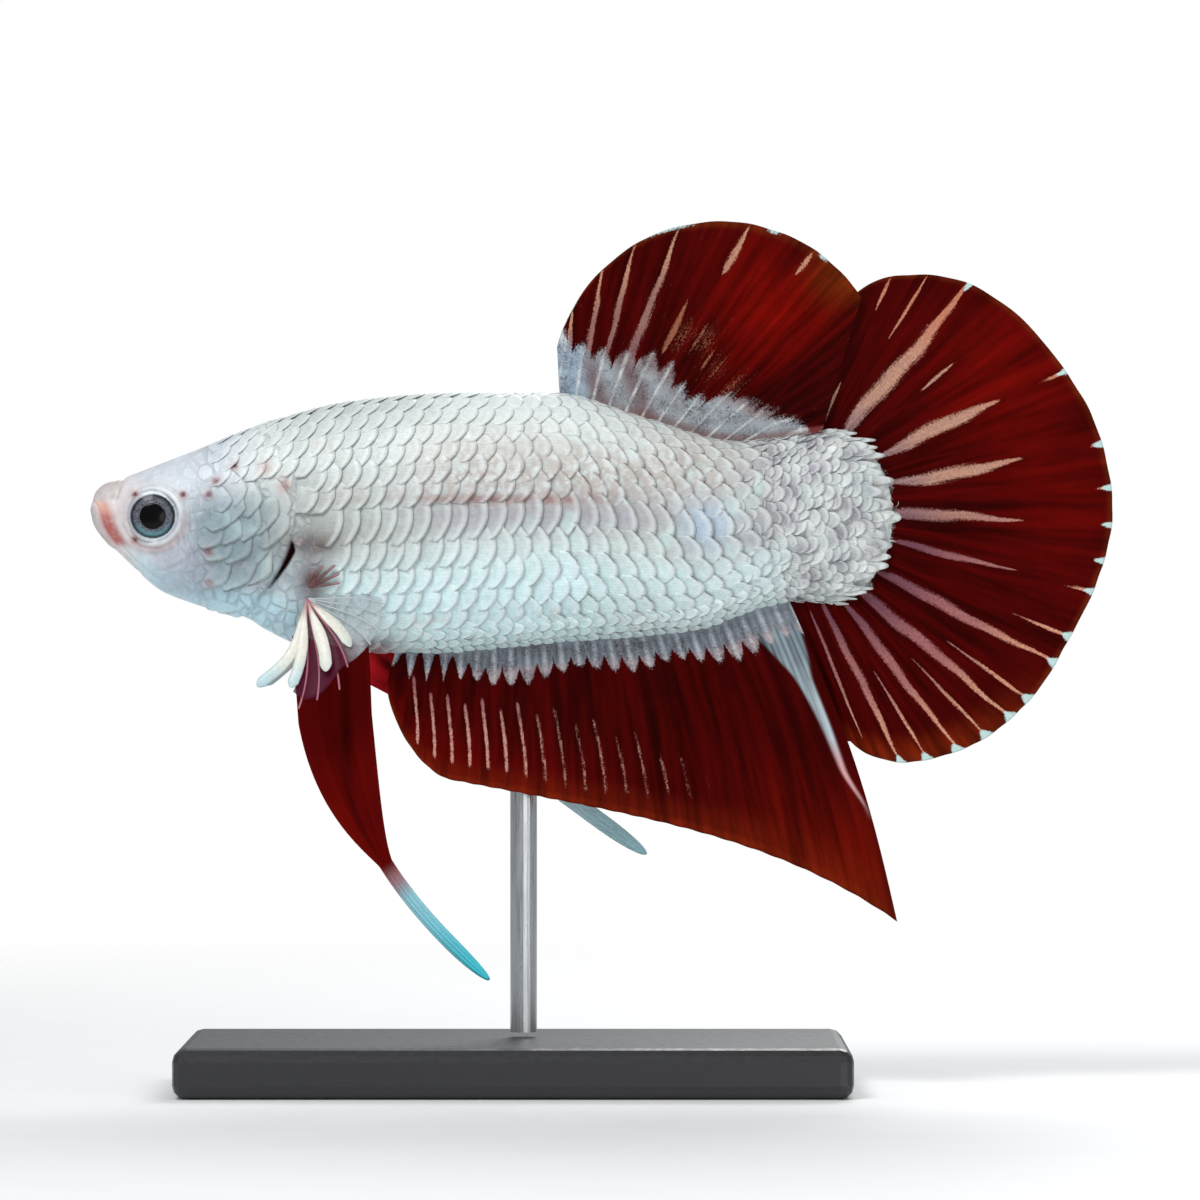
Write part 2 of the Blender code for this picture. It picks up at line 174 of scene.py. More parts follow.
def add_piece(name, points, faces, material, values=None, colours=None, patch=None):
    """A smooth mesh from points in fish mm and face arrays, all of one object."""
    points = np.asarray(points, float).reshape(-1, 3)
    quads = [face_set for face_set in faces if len(face_set)]
    middle = points.mean(0)
    volume = 0.0
    for face_set in quads:
        corners = points[face_set] - middle
        for last in range(2, face_set.shape[1]):
            turned = np.cross(corners[:, last - 1], corners[:, last])
            volume += np.einsum("ij,ij->i", corners[:, 0], turned).sum()
    if volume < 0:
        quads = [face_set[:, ::-1] for face_set in quads]
    mesh = bpy.data.meshes.new(name)
    world = (points + np.array((SNOUT_X, 0.0, MOUTH_Z))) * MM
    mesh.vertices.add(len(world))
    mesh.vertices.foreach_set("co", world.astype(np.float32).ravel())
    loops = np.concatenate([face_set.ravel() for face_set in quads]).astype(np.int32)
    totals = np.concatenate([np.full(len(face_set), face_set.shape[1]) for face_set in quads])
    starts = np.concatenate(([0], np.cumsum(totals)[:-1])).astype(np.int32)
    mesh.loops.add(len(loops))
    mesh.polygons.add(len(totals))
    mesh.polygons.foreach_set("loop_start", starts)
    mesh.polygons.foreach_set("vertices", loops)
    mesh.update(calc_edges=True)
    mesh.shade_smooth()
    for key, numbers in (values or {}).items():
        layer = mesh.attributes.new(key, "FLOAT", "POINT")
        layer.data.foreach_set("value", np.asarray(numbers, np.float32).ravel())
    for key, numbers in (colours or {}).items():
        layer = mesh.attributes.new(key, "FLOAT_COLOR", "POINT")
        full = np.ones((len(points), 4), np.float32)
        full[:, :3] = np.asarray(numbers).reshape(-1, 3)
        layer.data.foreach_set("color", full.ravel())
    if patch is not None:
        layer = mesh.uv_layers.new(name="OFBake")
        layer.uv.foreach_set("vector", patch.reshape(-1, 2)[loops].astype(np.float32).ravel())
    mesh.materials.append(material)
    piece = bpy.data.objects.new(name, mesh)
    bpy.context.scene.collection.objects.link(piece)
    return piece


def linear(*srgb):
    """A colour given as seen on a screen, as the linear numbers that shaders take."""
    seen = np.array(srgb)
    return np.where(seen <= 0.04045, seen / 12.92, ((seen + 0.055) / 1.055) ** 2.4)


def layered(first, *layers):
    """A colour with others laid over it in turn, each by its amount from 0 to 1.

    Colours are given as seen on a screen, or as an array that this function has made.
    """
    colour = linear(*first)
    for seen, amount in layers:
        other = seen if isinstance(seen, np.ndarray) else linear(*seen)
        colour = mix(colour, other, np.clip(amount, 0.0, 1.0)[..., None])
    return colour


# ------------------------------------------------------------------ materials
class Signal:
    """What a node gives out; its sums and products are nodes too."""

    def __init__(self, look, socket):
        self.look = look
        self.socket = socket

    def __add__(self, other):
        return self.look.math("ADD", self, other)

    def __mul__(self, other):
        return self.look.math("MULTIPLY", self, other)

    __radd__ = __add__
    __rmul__ = __mul__


class Shading:
    """A node material whose shader sockets can be driven by small node chains."""

    def __init__(self, name, **settings):
        self.material = bpy.data.materials.new(name)
        self.material.use_nodes = True
        self.tree = self.material.node_tree
        self.shader = self.tree.nodes["Principled BSDF"]
        for socket, value in settings.items():
            self.shader.inputs[socket.replace("_", " ")].default_value = value

    def node(self, kind, sources=(), out=0, **settings):
        """One output of a new node, whose sockets are fed by name or in their order."""
        node = self.tree.nodes.new("ShaderNode" + kind)
        for key, value in settings.items():
            setattr(node, key, value)
        pairs = sources.items() if isinstance(sources, dict) else enumerate(sources)
        for key, source in pairs:
            self.feed(node.inputs[key], source)
        return Signal(self, node.outputs[out])

    def feed(self, socket, source):
        if isinstance(source, Signal):
            self.tree.links.new(source.socket, socket)
        else:
            socket.default_value = source

    def drive(self, socket, source):
        """Feeds one of the shader's own sockets."""
        self.feed(self.shader.inputs[socket], source)

    def value(self, name):
        """The mesh's mask of this name."""
        return self.node("Attribute", out="Fac", attribute_name=name)

    def tint(self, name="tint"):
        """The mesh's colours of this name."""
        return self.node("Attribute", out="Color", attribute_name=name)

    def math(self, operation, *sources):
        return self.node("Math", sources, operation=operation)

    def steps(self, source, low, high, to_low=0.0, to_high=1.0):
        """A smooth step from to_low, where the source is low, to to_high, where it is high."""
        sources = (source, low, high, to_low, to_high)
        return self.node("MapRange", sources, interpolation_type="SMOOTHSTEP")

    def place(self, size, stretch):
        """The place on the object, in steps of size mm over the stretch of each axis."""
        scale = [axis / (size * MM) for axis in stretch]
        place = self.node("TexCoord", out="Object")
        return self.node("VectorMath", (place, scale), operation="MULTIPLY")

    def cloud(self, place, detail, spread):
        sources = {"Vector": place, "Scale": 1.0, "Detail": detail, "Roughness": spread}
        return self.node("TexNoise", sources, out="Fac")

    def noise(self, size, detail=3.0, stretch=(1.0, 1.0, 1.0), spread=0.5):
        """Noise whose blotches are about size mm wide."""
        return self.cloud(self.place(size, stretch), detail, spread)

    def grain(self, size, length, detail):
        """Noise drawn out along a fin's rays: size across and length along them, in mm."""
        shares = [self.math("DIVIDE", self.value(key), step)
                  for key, step in (("fan", size), ("out", length))]
        return self.cloud(self.node("CombineXYZ", shares), detail, 0.6)

    def cells(self, size):
        """Distance to the nearest border between cells about size mm across."""
        sources = {"Vector": self.place(size, (1.0, 0.25, 0.85)), "Scale": 1.0}
        return self.node("TexVoronoi", sources, out="Distance", feature="DISTANCE_TO_EDGE")

    def mixed(self, amount, first, second, kind="MIX"):
        """Two colours mixed, each a signal or a colour as seen on a screen."""
        first, second = (colour if isinstance(colour, Signal) else (*linear(*colour), 1.0)
                         for colour in (first, second))
        # A Mix node's sockets for colours are its inputs 6 and 7 and its output 2.
        sources = {0: amount, 6: first, 7: second}
        return self.node("Mix", sources, out=2, data_type="RGBA", blend_type=kind)

    def shaded(self, colour, tone):
        """A colour made darker or lighter by a tone round 1."""
        return self.mixed(1.0, colour, self.node("CombineColor", (tone,) * 3), kind="MULTIPLY")

    def bumped(self, height, depth):
        """Bump whose height of 1 stands for depth mm."""
        sources = {"Strength": 1.0, "Distance": depth * MM, "Height": height}
        self.drive("Normal", self.node("Bump", sources))


# ------------------------------------------------------------------ markings of the body
def spot(s, height, centre, radii, power=2):
    """1 at a centre, falling off to a third at its radii, with a flat top where power is high."""
    across, up = np.broadcast_to(radii, 2)
    return np.exp(-((s - centre[0]) / across) ** power - ((height - centre[1]) / up) ** power)


PORES = [(2.8, 0.6), (2.8, -2.1), (5.7, 0.6), (7.25, 0.6), (7.7, 1.4), (8.8, 2.3),
         (7.25, -2.8), (7.25, -4.7)]
BLOTCHES = [(10.6, 2.2), (11.8, 1.1)]
SLIT_ANGLES = (-42.0, -15.5)
SLIT_WIDTH = 0.62


def off_eye(s, height):
    """Distance from the middle of the eye, seen from the side."""
    return np.hypot(s - EYE_PLACE[0], height - EYE_PLACE[1])


def gape(height):
    """Distance behind the snout of the mouth's line at a height."""
    line = [(-2.5, 1.55), (-1.3, 0.82), (-0.1, 0.45), (0.3, 0.15)]
    return smooth_curve(line, height)


def gill_polar(s, height):
    rise, reach = height - GILL_CENTRE[1], s - GILL_CENTRE[0]
    return np.hypot(rise, reach), np.degrees(np.arctan2(rise, reach))


def slit(s, height):
    """How deep inside the dark opening behind the gill cover a place is, from 0 to 1."""
    radius, angle = gill_polar(s, height)
    part = np.clip((angle - SLIT_ANGLES[0]) / (SLIT_ANGLES[1] - SLIT_ANGLES[0]), 0.0, 1.0)
    width = SLIT_WIDTH * part ** 1.1 * ease(1.0, 0.78, part) + 0.07 * np.sin(math.pi * part) + 1e-3
    return ease(0.0, 0.1, radius - GILL_RADIUS) * ease(0.0, 0.12, GILL_RADIUS + width - radius)


def markings(s, height):
    """The body's colours, with some painted light and shade, shared by the skin and the scales."""
    def at(*shape):
        return spot(s, height, *shape)

    middle, half_height, _ = section(s, open_end=True)
    level = (height - middle) / np.maximum(half_height, 0.3)
    clouds = np.sin(2.1 * s + 1.7 * np.sin(1.1 * height)) * np.sin(1.9 * height + 0.6 * s)
    clouds = 0.5 + 0.5 * clouds
    stem_tip = STEM_END + STEM_ROUND * np.sqrt(np.clip(1 - level * level, 0, 1))
    uneven = 0.60 + 0.40 * np.sin(2.9 * s) * np.sin(1.3 * s + 1.0)
    ring = off_eye(s, height)
    over_eye = height - EYE_PLACE[1]
    under_eye = ease(0.6, -1.0, over_eye)
    rim = bump(ring, 1.70, 0.16) * np.minimum(1, ease(-0.6, 0.9, over_eye) + 0.5 * under_eye)
    rim = rim * (0.25 + 0.6 * ease(-0.8, 0.6, s - EYE_PLACE[0]))
    lip = s - gape(height)
    in_mouth = ease(0.55, 0.0, height) * ease(-2.8, -2.1, height)
    mouth_red = layered((0.92, 0.72, 0.65), ((0.70, 0.25, 0.18), ease(0.3, -1.2, height)))
    pores = [layer for place in PORES for layer in (
        ((0.72, 0.35, 0.30), 0.7 * at(place, 0.26)), ((0.25, 0.12, 0.12), at(place, 0.15)))]
    blotches = [((0.74, 0.42, 0.38), 0.6 * at(place, 0.4)) for place in BLOTCHES]
    return layered(
        (0.84, 0.86, 0.85),
        # The back, belly, head, throat, gill cover, jowl and the skin behind the gill.
        ((0.89, 0.92, 0.91), ease(0.15, 0.75, level)),
        ((0.87, 0.98, 0.99), ease(0.1, -0.6, level) * ease(10, 15, s)),
        ((0.86, 0.89, 0.92), ease(11.5, 7.0, s)),
        ((0.78, 0.93, 0.98), ease(-0.45, -0.8, level) * ease(17, 11, s)),
        ((0.50, 0.585, 0.615), 0.95 * at((9.0, -2.3), (3.3, 3.0), 4)),
        ((0.68, 0.71, 0.77), 0.7 * at((5.6, -3.9), (1.9, 1.7), 4)),
        ((0.62, 0.68, 0.72), 0.8 * at((12.9, -4.2), 1.3)),
        # The shoulder: grey, and painted shade: a grey patch behind the gill cover, a brown patch
        # beside the gill opening and a mauve smudge round the red tuft.
        ((0.76, 0.79, 0.78), 0.55 * ease(22, 17, s) * ease(10, 13, s) * ease(-0.7, 0.0, level)),
        ((0.66, 0.67, 0.65), 0.75 * at((15.6, -1.2), (3.6, 1.7))),
        ((0.32, 0.22, 0.19), 0.9 * at((13.4, -2.4), (1.8, 0.8))),
        ((0.38, 0.22, 0.23), 0.85 * at((13.4, -4.7), (0.9, 1.4))),
        # The rear flank and the clouded tail stem with its pale tips.
        ((0.78, 0.78, 0.76), 0.85 * ease(29, 37, s)),
        ((0.70, 0.70, 0.71), 0.7 * ease(38, 41, s)),
        ((0.60, 0.59, 0.63), 0.9 * clouds * ease(37.5, 40.5, s)),
        ((0.92, 0.94, 0.93), 0.7 * (1 - clouds) * ease(40.0, 42.0, s)),
        ((0.93, 0.95, 0.93), 0.75 * ease(-0.9, 0.0, s - stem_tip) * ease(43, 44, s)),
        # Pale blue white on the lower rear flank: partly its own colour, partly painted light
        # lifting the shade below the body.
        ((0.88, 0.97, 0.98), 0.8 * ease(-0.15, -0.5, level) * ease(30, 34, s) * ease(43, 40, s)),
        # Along the lateral line: grey below, brown above, the red streak and the blue spot.
        ((0.67, 0.67, 0.70), 0.9 * bump(height, -0.6, 1.3) * ease(17, 22, s) * ease(38, 32, s)),
        ((0.72, 0.68, 0.64), 0.35 * bump(height, 3.2, 1.5) * ease(18, 22, s) * ease(32, 27, s)),
        ((0.52, 0.20, 0.17),
         0.9 * bump(height, 0.32, 0.26) * ease(19.5, 22.0, s) * ease(32.5, 28.5, s) * uneven),
        ((0.66, 0.78, 0.88), 0.75 * at((37.0, -1.2), 1.7)),
        # Round the eye, the face and the lips.
        ((0.66, 0.55, 0.55), bump(ring, 1.95, 0.3) * (0.2 + 0.45 * under_eye)),
        ((0.95, 0.96, 0.97), rim),
        ((0.42, 0.40, 0.44), 0.25 * bump(ring, 1.47, 0.07)),
        ((0.90, 0.86, 0.86), 0.85 * ease(4.2, 1.6, s)),
        ((0.80, 0.77, 0.77), ease(0.1, -0.2, lip) * ease(3, 2, s)),
        (mouth_red, 0.9 * ease(-0.28, 0.22, lip) * ease(1.2, 0.45, lip) * in_mouth),
        ((0.76, 0.73, 0.71), 0.7 * ease(0.1, 0.5, height) * ease(2.1, 1.6, s)),
        *pores, *blotches,
        # The cleft behind the gill cover, dark with painted shade, the purple by the pelvic fins
        # and the red vent.
        ((0.17, 0.04, 0.03), slit(s, height)),
        ((0.30, 0.14, 0.22), 0.9 * at((17.0, -8.5), (1.7, 0.7))),
        ((0.62, 0.05, 0.08), at((17.2, -9.3), 0.7)))


def rust(s, height):
    """Where the scales' rims turn brown: the band above the lateral line."""
    band = bump(height, 1.8, 1.9) * ease(18.0, 23.0, s) * ease(41.0, 36.0, s)
    return np.minimum(1.0, band + 0.7 * bump(height, 0.4, 0.5) * ease(12, 16, s) * ease(34, 29, s))


# ------------------------------------------------------------------ skin
# How far inside the plain form the skin lies, from the snout to the tail.
SKIN_DEPTH = [(0.0, 0.03), (8.0, 0.05), (14.0, 0.12), (48.3, 0.12)]
HEAD_RINGS = 200
REAR_RINGS = 70
SKIN_SIDES = 340
HEAD_END = 13.5


def head_relief(s, height):
    """How far the skin stands out from, or lies in, its plain form at a place on the head."""
    # The eye's socket and the soft rims round it.
    ring = off_eye(s, height)
    below = ease(0.8, -0.8, height - EYE_PLACE[1])
    relief = -0.85 * ease(1.50, 1.36, ring)
    relief += (0.13 - 0.04 * below) * bump(ring, 1.70, 0.14)
    relief -= 0.05 * bump(ring, 1.92, 0.07)
    relief += 0.05 * bump(ring, 2.10, 0.13) * below
    # The mouth's line, its lips and the upper lip's rear edge.
    lip = s - gape(height)
    in_mouth = ease(0.9, 0.2, height) * ease(-2.9, -2.3, height)
    relief -= 0.07 * bump(lip, 0.0, 0.10) * in_mouth
    relief += (0.06 * bump(lip, 0.95, 0.16) + 0.06 * bump(lip, -0.26, 0.18)) * in_mouth
    relief -= 0.06 * bump(lip, 0.38, 0.25) * in_mouth
    lip_edge = s - 1.75 - 0.3 * (height - 1.0)
    relief -= 0.12 * bump(lip_edge, 0.0, 0.13) * ease(0.1, 0.6, height)
    # The pores, each a pit with a low rim.
    for place in PORES:
        relief += 0.03 * spot(s, height, place, 0.25) - 0.14 * spot(s, height, place, 0.12)
    # The gill cover's edge, the step behind it and the dark opening.
    radius, angle = gill_polar(s, height)
    cover = ease(-88, -70, angle) * ease(48, 30, angle)
    relief += 0.10 * ease(6.5, 8.8, radius) * ease(9.3, 9.05, radius) * cover
    relief -= 0.12 * ease(9.0, 9.3, radius) * ease(10.6, 9.6, radius) * cover
    relief -= 0.45 * slit(s, height)
    # A groove across the cheek, and one along the throat.
    cheek = ease(-125, -105, angle) * ease(20, -5, angle)
    relief -= 0.05 * bump(radius, 4.6, 0.14) * cheek
    fold = height - smooth_curve(BELLY, s) - 0.55
    return relief - 0.06 * bump(fold, 0.0, 0.10) * ease(1.5, 2.6, s) * ease(10.5, 8.5, s)


def end_fans(rings, around):
    """Triangles that close a wrapped grid's two ends round two points that follow it."""
    count = rings * around
    spin = np.arange(around)
    ahead = np.roll(spin, -1)
    last = count - around
    return (np.stack((spin, ahead, np.full(around, count)), -1),
            np.stack((last + ahead, last + spin, np.full(around, count + 1)), -1))


def build_skin(material):
    head = HEAD_END * np.linspace(0.035, 1.0, HEAD_RINGS) ** 1.35
    rear = HEAD_END + (BODY_LENGTH - HEAD_END) * np.sin(np.linspace(0, 0.5, REAR_RINGS) * math.pi)
    s = np.concatenate((head, rear[1:-1]))[:, None]
    points = round_point(s, np.linspace(0, TAU, SKIN_SIDES, endpoint=False)[None, :])
    normals = grid_normals(points, wrap=True)
    normals *= np.sign((normals * (points - points.mean((0, 1)))).sum())
    lift = head_relief(points[..., 0], points[..., 2]) - smooth_curve(SKIN_DEPTH, points[..., 0])
    grid = points + normals * lift[..., None]
    nose_end = round_point(0.02, 0.0) * (1, 0, 1)
    tail_end = (BODY_LENGTH - 0.1, 0.0, grid[-1, :, 2].mean())
    ends = np.array((nose_end, tail_end))
    s, _, height = np.concatenate((points.reshape(-1, 3), ends)).T
    cells = (0.2 + 0.8 * ease(5.2, 7.5, s)) * ease(2.5, 4.5, s)
    cells = cells * ease(1.9, 2.6, off_eye(s, height))
    values = {"cells": cells, "deep": slit(s, height),
              "wrinkle": spot(s, height, (6.2, -1.6), (0.9, 2.0))}
    faces = [grid_faces(len(points), SKIN_SIDES, wrap=True), *end_fans(len(points), SKIN_SIDES)]
    piece = add_piece("betta_skin", np.concatenate((grid.reshape(-1, 3), ends)), faces, material,
                      values, {"tint": markings(s, height)})
    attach(piece, "root")
    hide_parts("head", "lower_jaw", "gill_cover_left", "gill_cover_right", "trunk",
                "tail_stem")


def skin_material():
    look = Shading("pearly_skin", Roughness=0.42, Coat_Weight=0.15, Coat_Roughness=0.25)
    mottle = look.noise(0.45, 4.0, spread=0.6)
    fine = look.noise(0.12)
    plain = look.shaded(look.tint(), look.steps(mottle, 0.25, 0.75, 0.88, 1.07))
    warm = look.steps(look.noise(0.9, spread=0.7), 0.52, 0.72, 0.0, 0.35)
    plain = look.mixed(warm, plain, (0.86, 0.80, 0.82))
    net = look.steps(look.cells(0.75), 0.02, 0.16, 1.0, 0.0) * look.value("cells")
    netted = look.mixed(0.30 * net, plain, (0.46, 0.52, 0.56))
    strands = look.steps(look.noise(0.16, stretch=(1.0, 0.2, 0.12)), 0.48, 0.66)
    wrinkled = look.mixed(look.value("wrinkle") * (0.5 * strands), netted, (0.52, 0.50, 0.58))
    # Inside the gill opening, painted shade: the plain dark tint, without the skin's gloss.
    deep = look.value("deep")
    look.drive("Base Color", look.mixed(deep, wrinkled, look.tint()))
    for name, amount in (("Specular IOR Level", 0.5), ("Coat Weight", 0.15)):
        look.drive(name, look.steps(deep, 0.0, 0.6, amount, 0.0))
    look.drive("Roughness", look.steps(fine, 0.3, 0.7, 0.34, 0.5))
    look.bumped(-1.0 * net + (0.35 * fine + mottle), 0.05)
    return look.material


# ------------------------------------------------------------------ scales
PLATE_ROWS = 9
PLATE_COLUMNS = 13
# How far a plate's corners lie behind its tip, and its length, both as shares of the pitch.
PLATE_DROP = 0.58
PLATE_LENGTH = 1.9
OVERLAP = 0.36
# The size of a plate's patch in the map.
PATCH = 0.003
# Ahead of this place the plates lap over the row below, and behind it over the row above.
LEAN_TURN = 27.5


def plate_shape(tip, pitch, half_height, lift, lean, rng, point):
    """Local grids of many overlapping plates: distance along, across, height and shares.

    Each plate has a rounded rear edge, more pointed where point is lower. lean above 0 lays
    its lower end over the row below.
    """
    tip, pitch, half_height, lift, lean = (
        x[:, None, None] for x in (tip, pitch, half_height, lift, lean))
    a = np.linspace(0, 1, PLATE_ROWS)[None, :, None]
    b = np.linspace(-1, 1, PLATE_COLUMNS)[None, None, :]
    across = b * half_height * (0.9 + 0.1 * a)
    drop = PLATE_DROP * pitch * np.abs(b) ** point
    along = tip - PLATE_LENGTH * pitch * (1 - a) - drop * (0.25 + 0.75 * a) + 3.0 * lean * across
    tilt = rng.uniform(0.85, 1.15, tip.shape) * lift
    crown = 0.30 * (1 - b * b) * a * lift
    under = ease(0.45, 1.0, np.sign(lean) * b) * np.minimum(1.0, np.abs(lean) / 0.03)
    height = (tilt * (a ** 1.3 - 0.15) + crown - 0.9 * lean * b * a - 0.16 * (1 - a) ** 2
              - 0.14 * (1 - a) * b * b - 0.07 * under * a)
    shares = [np.broadcast_to(x, along.shape) for x in (a, b)]
    return along, across, height, *shares


def add_plates(name, surface, plates, rng, material, unwrap, thickness=0.035, point=2.5):
    """One joined mesh of closed plates; surface(along, across) gives places on the body."""
    tip, row, rate, pitch, half_height, lift, lean, strength = (
        np.array(column, float) for column in zip(*plates))
    along, across, height, a, b = plate_shape(tip, pitch, half_height, lift, lean, rng, point)
    turn = row[:, None, None] + across / rate[:, None, None]
    top = lifted(surface, along, turn, height)
    low = lifted(surface, along, turn, height - thickness * (0.4 + 0.6 * a))
    count, rows, columns = along.shape
    points = np.stack((top, low), 1)
    one = sheet_faces(rows, columns)
    faces = (one[None] + (np.arange(count) * 2 * rows * columns)[:, None, None]).reshape(-1, 4)
    both = np.ones((count, 2, rows, columns))
    spread = np.stack((a, a), 1)
    sideways = np.stack((b, b), 1)
    turned = np.sign(lean)[:, None, None, None]
    # How dark each plate's rear rim is painted, most on the side that laps over the next row:
    # partly the scales' dark edges, partly painted shadow under the lapping edge.
    dark = strength[:, None, None, None] * (0.30 + 0.70 * ease(0.0, 0.7, -turned * sideways))
    u, v = unwrap(tip - 0.5 * pitch, row)
    patch = np.stack((u[:, None, None, None] + PATCH * (spread - 0.5),
                      v[:, None, None, None] + PATCH * sideways / 2), -1)
    s, height = points[..., 0], points[..., 2]
    tone = np.clip(rng.normal(0, 1, (count, 1, 1, 1)), -1.6, 1.6)
    values = {"tone": tone * both, "run": spread, "across": sideways, "dark": dark,
              "fine": strength[:, None, None, None] * both, "rust": rust(s, height)}
    piece = add_piece(name, points, [faces], material, values, {"tint": markings(s, height)},
                      patch)
    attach(piece, "root")


def scale_material(name, depth=0.018, uneven=0.03, pale=0.35, rim_colour=(0.50, 0.51, 0.50)):
    look = Shading(name, Roughness=0.4, Specular_IOR_Level=0.4, Coat_Weight=0.12,
                   Coat_Roughness=0.3)
    run, fine = look.value("run"), look.value("fine")
    mottle = look.noise(0.45, 4.0, spread=0.65)
    speck = look.steps(look.noise(0.17, 2.0), 0.3, 0.7, -0.05, 0.05)
    tone = uneven * look.value("tone") + speck
    body = look.shaded(look.tint(), look.steps(mottle, 0.2, 0.8, 0.87, 1.06) + tone)
    # Mint patches: the scales' iridescent sheen, painted as a colour.
    mint = look.steps(look.noise(1.6), 0.50, 0.72, 0.0, 0.40) * fine
    body = look.mixed(mint, body, (0.82, 0.94, 0.92))
    warm = look.steps(look.noise(1.3, spread=0.7), 0.58, 0.75, 0.0, 0.45)
    body = look.mixed(warm, body, (0.80, 0.76, 0.74))
    # Towards the free rear edge the plate turns near white: a painted highlight along the edge.
    end = run + (0.10 * look.noise(0.25, 2.0) + -0.05)
    body = look.mixed(look.steps(end, 0.72, 0.88, 0.0, pale), body, (0.96, 0.98, 0.98))
    brown = look.value("rust") * look.steps(look.noise(0.5), 0.40, 0.60)
    body = look.mixed(0.45 * brown, body, (0.64, 0.53, 0.48))
    # A dark line along the rear rim: partly the scales' dark edges, partly painted shadow under
    # them; brown where the rims rust.
    rim = look.steps(end, 0.90, 1.0, 0.0, 0.85) * look.value("dark")
    rim = rim * look.steps(look.noise(0.7), 0.38, 0.58, 0.35, 1.0)
    body = look.mixed(rim, body, look.mixed(brown, rim_colour, (0.46, 0.28, 0.24)))
    # Painted shadow towards the plate's root, where it lies under the plate ahead.
    root = look.steps(run, 0.60, 0.36, 0.0, 0.45) * fine
    look.drive("Base Color", look.mixed(root, body, (0.55, 0.57, 0.57)))
    look.bumped(0.18 * look.math("SINE", 30.0 * look.value("across")) + 1.6 * mottle, depth)
    look.drive("Roughness", look.steps(look.noise(0.3), 0.3, 0.7, 0.34, 0.55))
    return look.material


# Rows of scales between heights of equal arc, counted up and down from the lateral line.
ROW_PLACE = 26.0
LATERAL_HEIGHT = 0.5
ROWS_UP = [1.25, 1.2, 1.2, 1.2, 1.15, 1.1, 1.1, 1.1, 1.1, 1.1]
ROWS_DOWN = [2.1, 1.65, 1.45, 1.35, 1.2, 1.0, 0.9, 0.9, 0.9, 0.9]


def row_rate(s, angle):
    """Mm of surface for each radian round the section."""
    _, half_height, half_width = section(s, open_end=True)
    return np.hypot(half_width * np.sin(angle), half_height * np.cos(angle)) + 0.05


def scale_rows():
    """Row number, middle angle and height in radians of each row of one flank."""
    start = float(angle_at(np.array(ROW_PLACE), LATERAL_HEIGHT))
    rows = []
    for way, pitches in ((1, ROWS_UP), (-1, ROWS_DOWN)):
        edge = start
        for index, pitch in enumerate(pitches):
            turn = pitch / float(row_rate(ROW_PLACE, edge + way * 0.06))
            if abs(edge + way * turn / 2) < math.pi / 2 + 0.05:
                rows.append((index if way > 0 else index + 1, edge + way * turn / 2, turn))
            edge += way * turn
    return rows


def body_surface(way):
    def surface(s, angle):
        return round_point(s, angle, open_end=True) * np.array((1.0, -way, 1.0))
    return surface


def body_unwrap(s, angle):
    """The place in the map of a place on the body, with a margin round the whole body."""
    return s / BODY_LENGTH * 0.96 + 0.02, 0.5 + angle / math.pi * 0.48


def side_random(seed, side):
    """Random numbers of its own for each kind of scale and each side."""
    return np.random.default_rng(seed + (side == "right"))


FLANK_START = 6.5
FLANK_END = 40.2
ROW_SHIFT = 0.54


def build_flank_scales(side, way, material):
    """The regular scales of one flank, from behind the head to the tail stem."""
    rng = side_random(11, side)
    plates = []
    for index, angle, turn in scale_rows():
        s = FLANK_START + (index % 2) * ROW_SHIFT
        while s < FLANK_END:
            pitch = float(mix(1.04, 1.16, np.clip((s - 14) / 22, 0, 1)))
            s += pitch
            place = round_point(np.array(s), np.array(angle))
            radius, direction = gill_polar(place[0], place[2])
            beside_slit = SLIT_ANGLES[0] - 10 < direction < SLIT_ANGLES[1] + 8
            behind = radius > GILL_RADIUS + (2.9 if beside_slit else 0.85)
            nape = direction > 7 and s > 8.3
            first = 14.6 if place[2] < -3.5 else 11.0
            if not ((behind and s > first) or nape):
                continue
            full = float(ease(8.0, 15.0, s))
            rate = float(row_rate(s, angle))
            half_height = turn * rate / 2 + OVERLAP * rate / 7.0
            lean = 0.045 * float(np.tanh(LEAN_TURN + 3.0 * math.sin(2.1 * index) - s))
            upper = float(ease(1.8, 4.2, place[2]))
            flat = mix(1.0, 0.6, upper) * mix(1.0, 0.45, float(ease(0.85, 1.25, angle)))
            rear = float(ease(24.0, 34.0, s))
            flat *= mix(0.85, 1.15, rear)
            firm = mix(0.30, 0.75, full) * rng.uniform(0.55, 1.15) * mix(1.0, 0.35, upper)
            firm = min(1.5, firm * mix(0.8, 2.1, rear))
            plates.append((s + rng.normal(0, 0.055), angle + rng.normal(0, 0.006), rate, pitch,
                           half_height * rng.uniform(0.96, 1.04),
                           mix(0.05, 0.105, full) * rng.uniform(0.8, 1.15) * flat,
                           lean, firm))
    add_plates(f"scales_{side}", body_surface(way), plates, rng, material, body_unwrap,
               thickness=0.03, point=2.0)


STEM_ROW = math.radians(9.0)
STEM_SCALES_START = 38.9


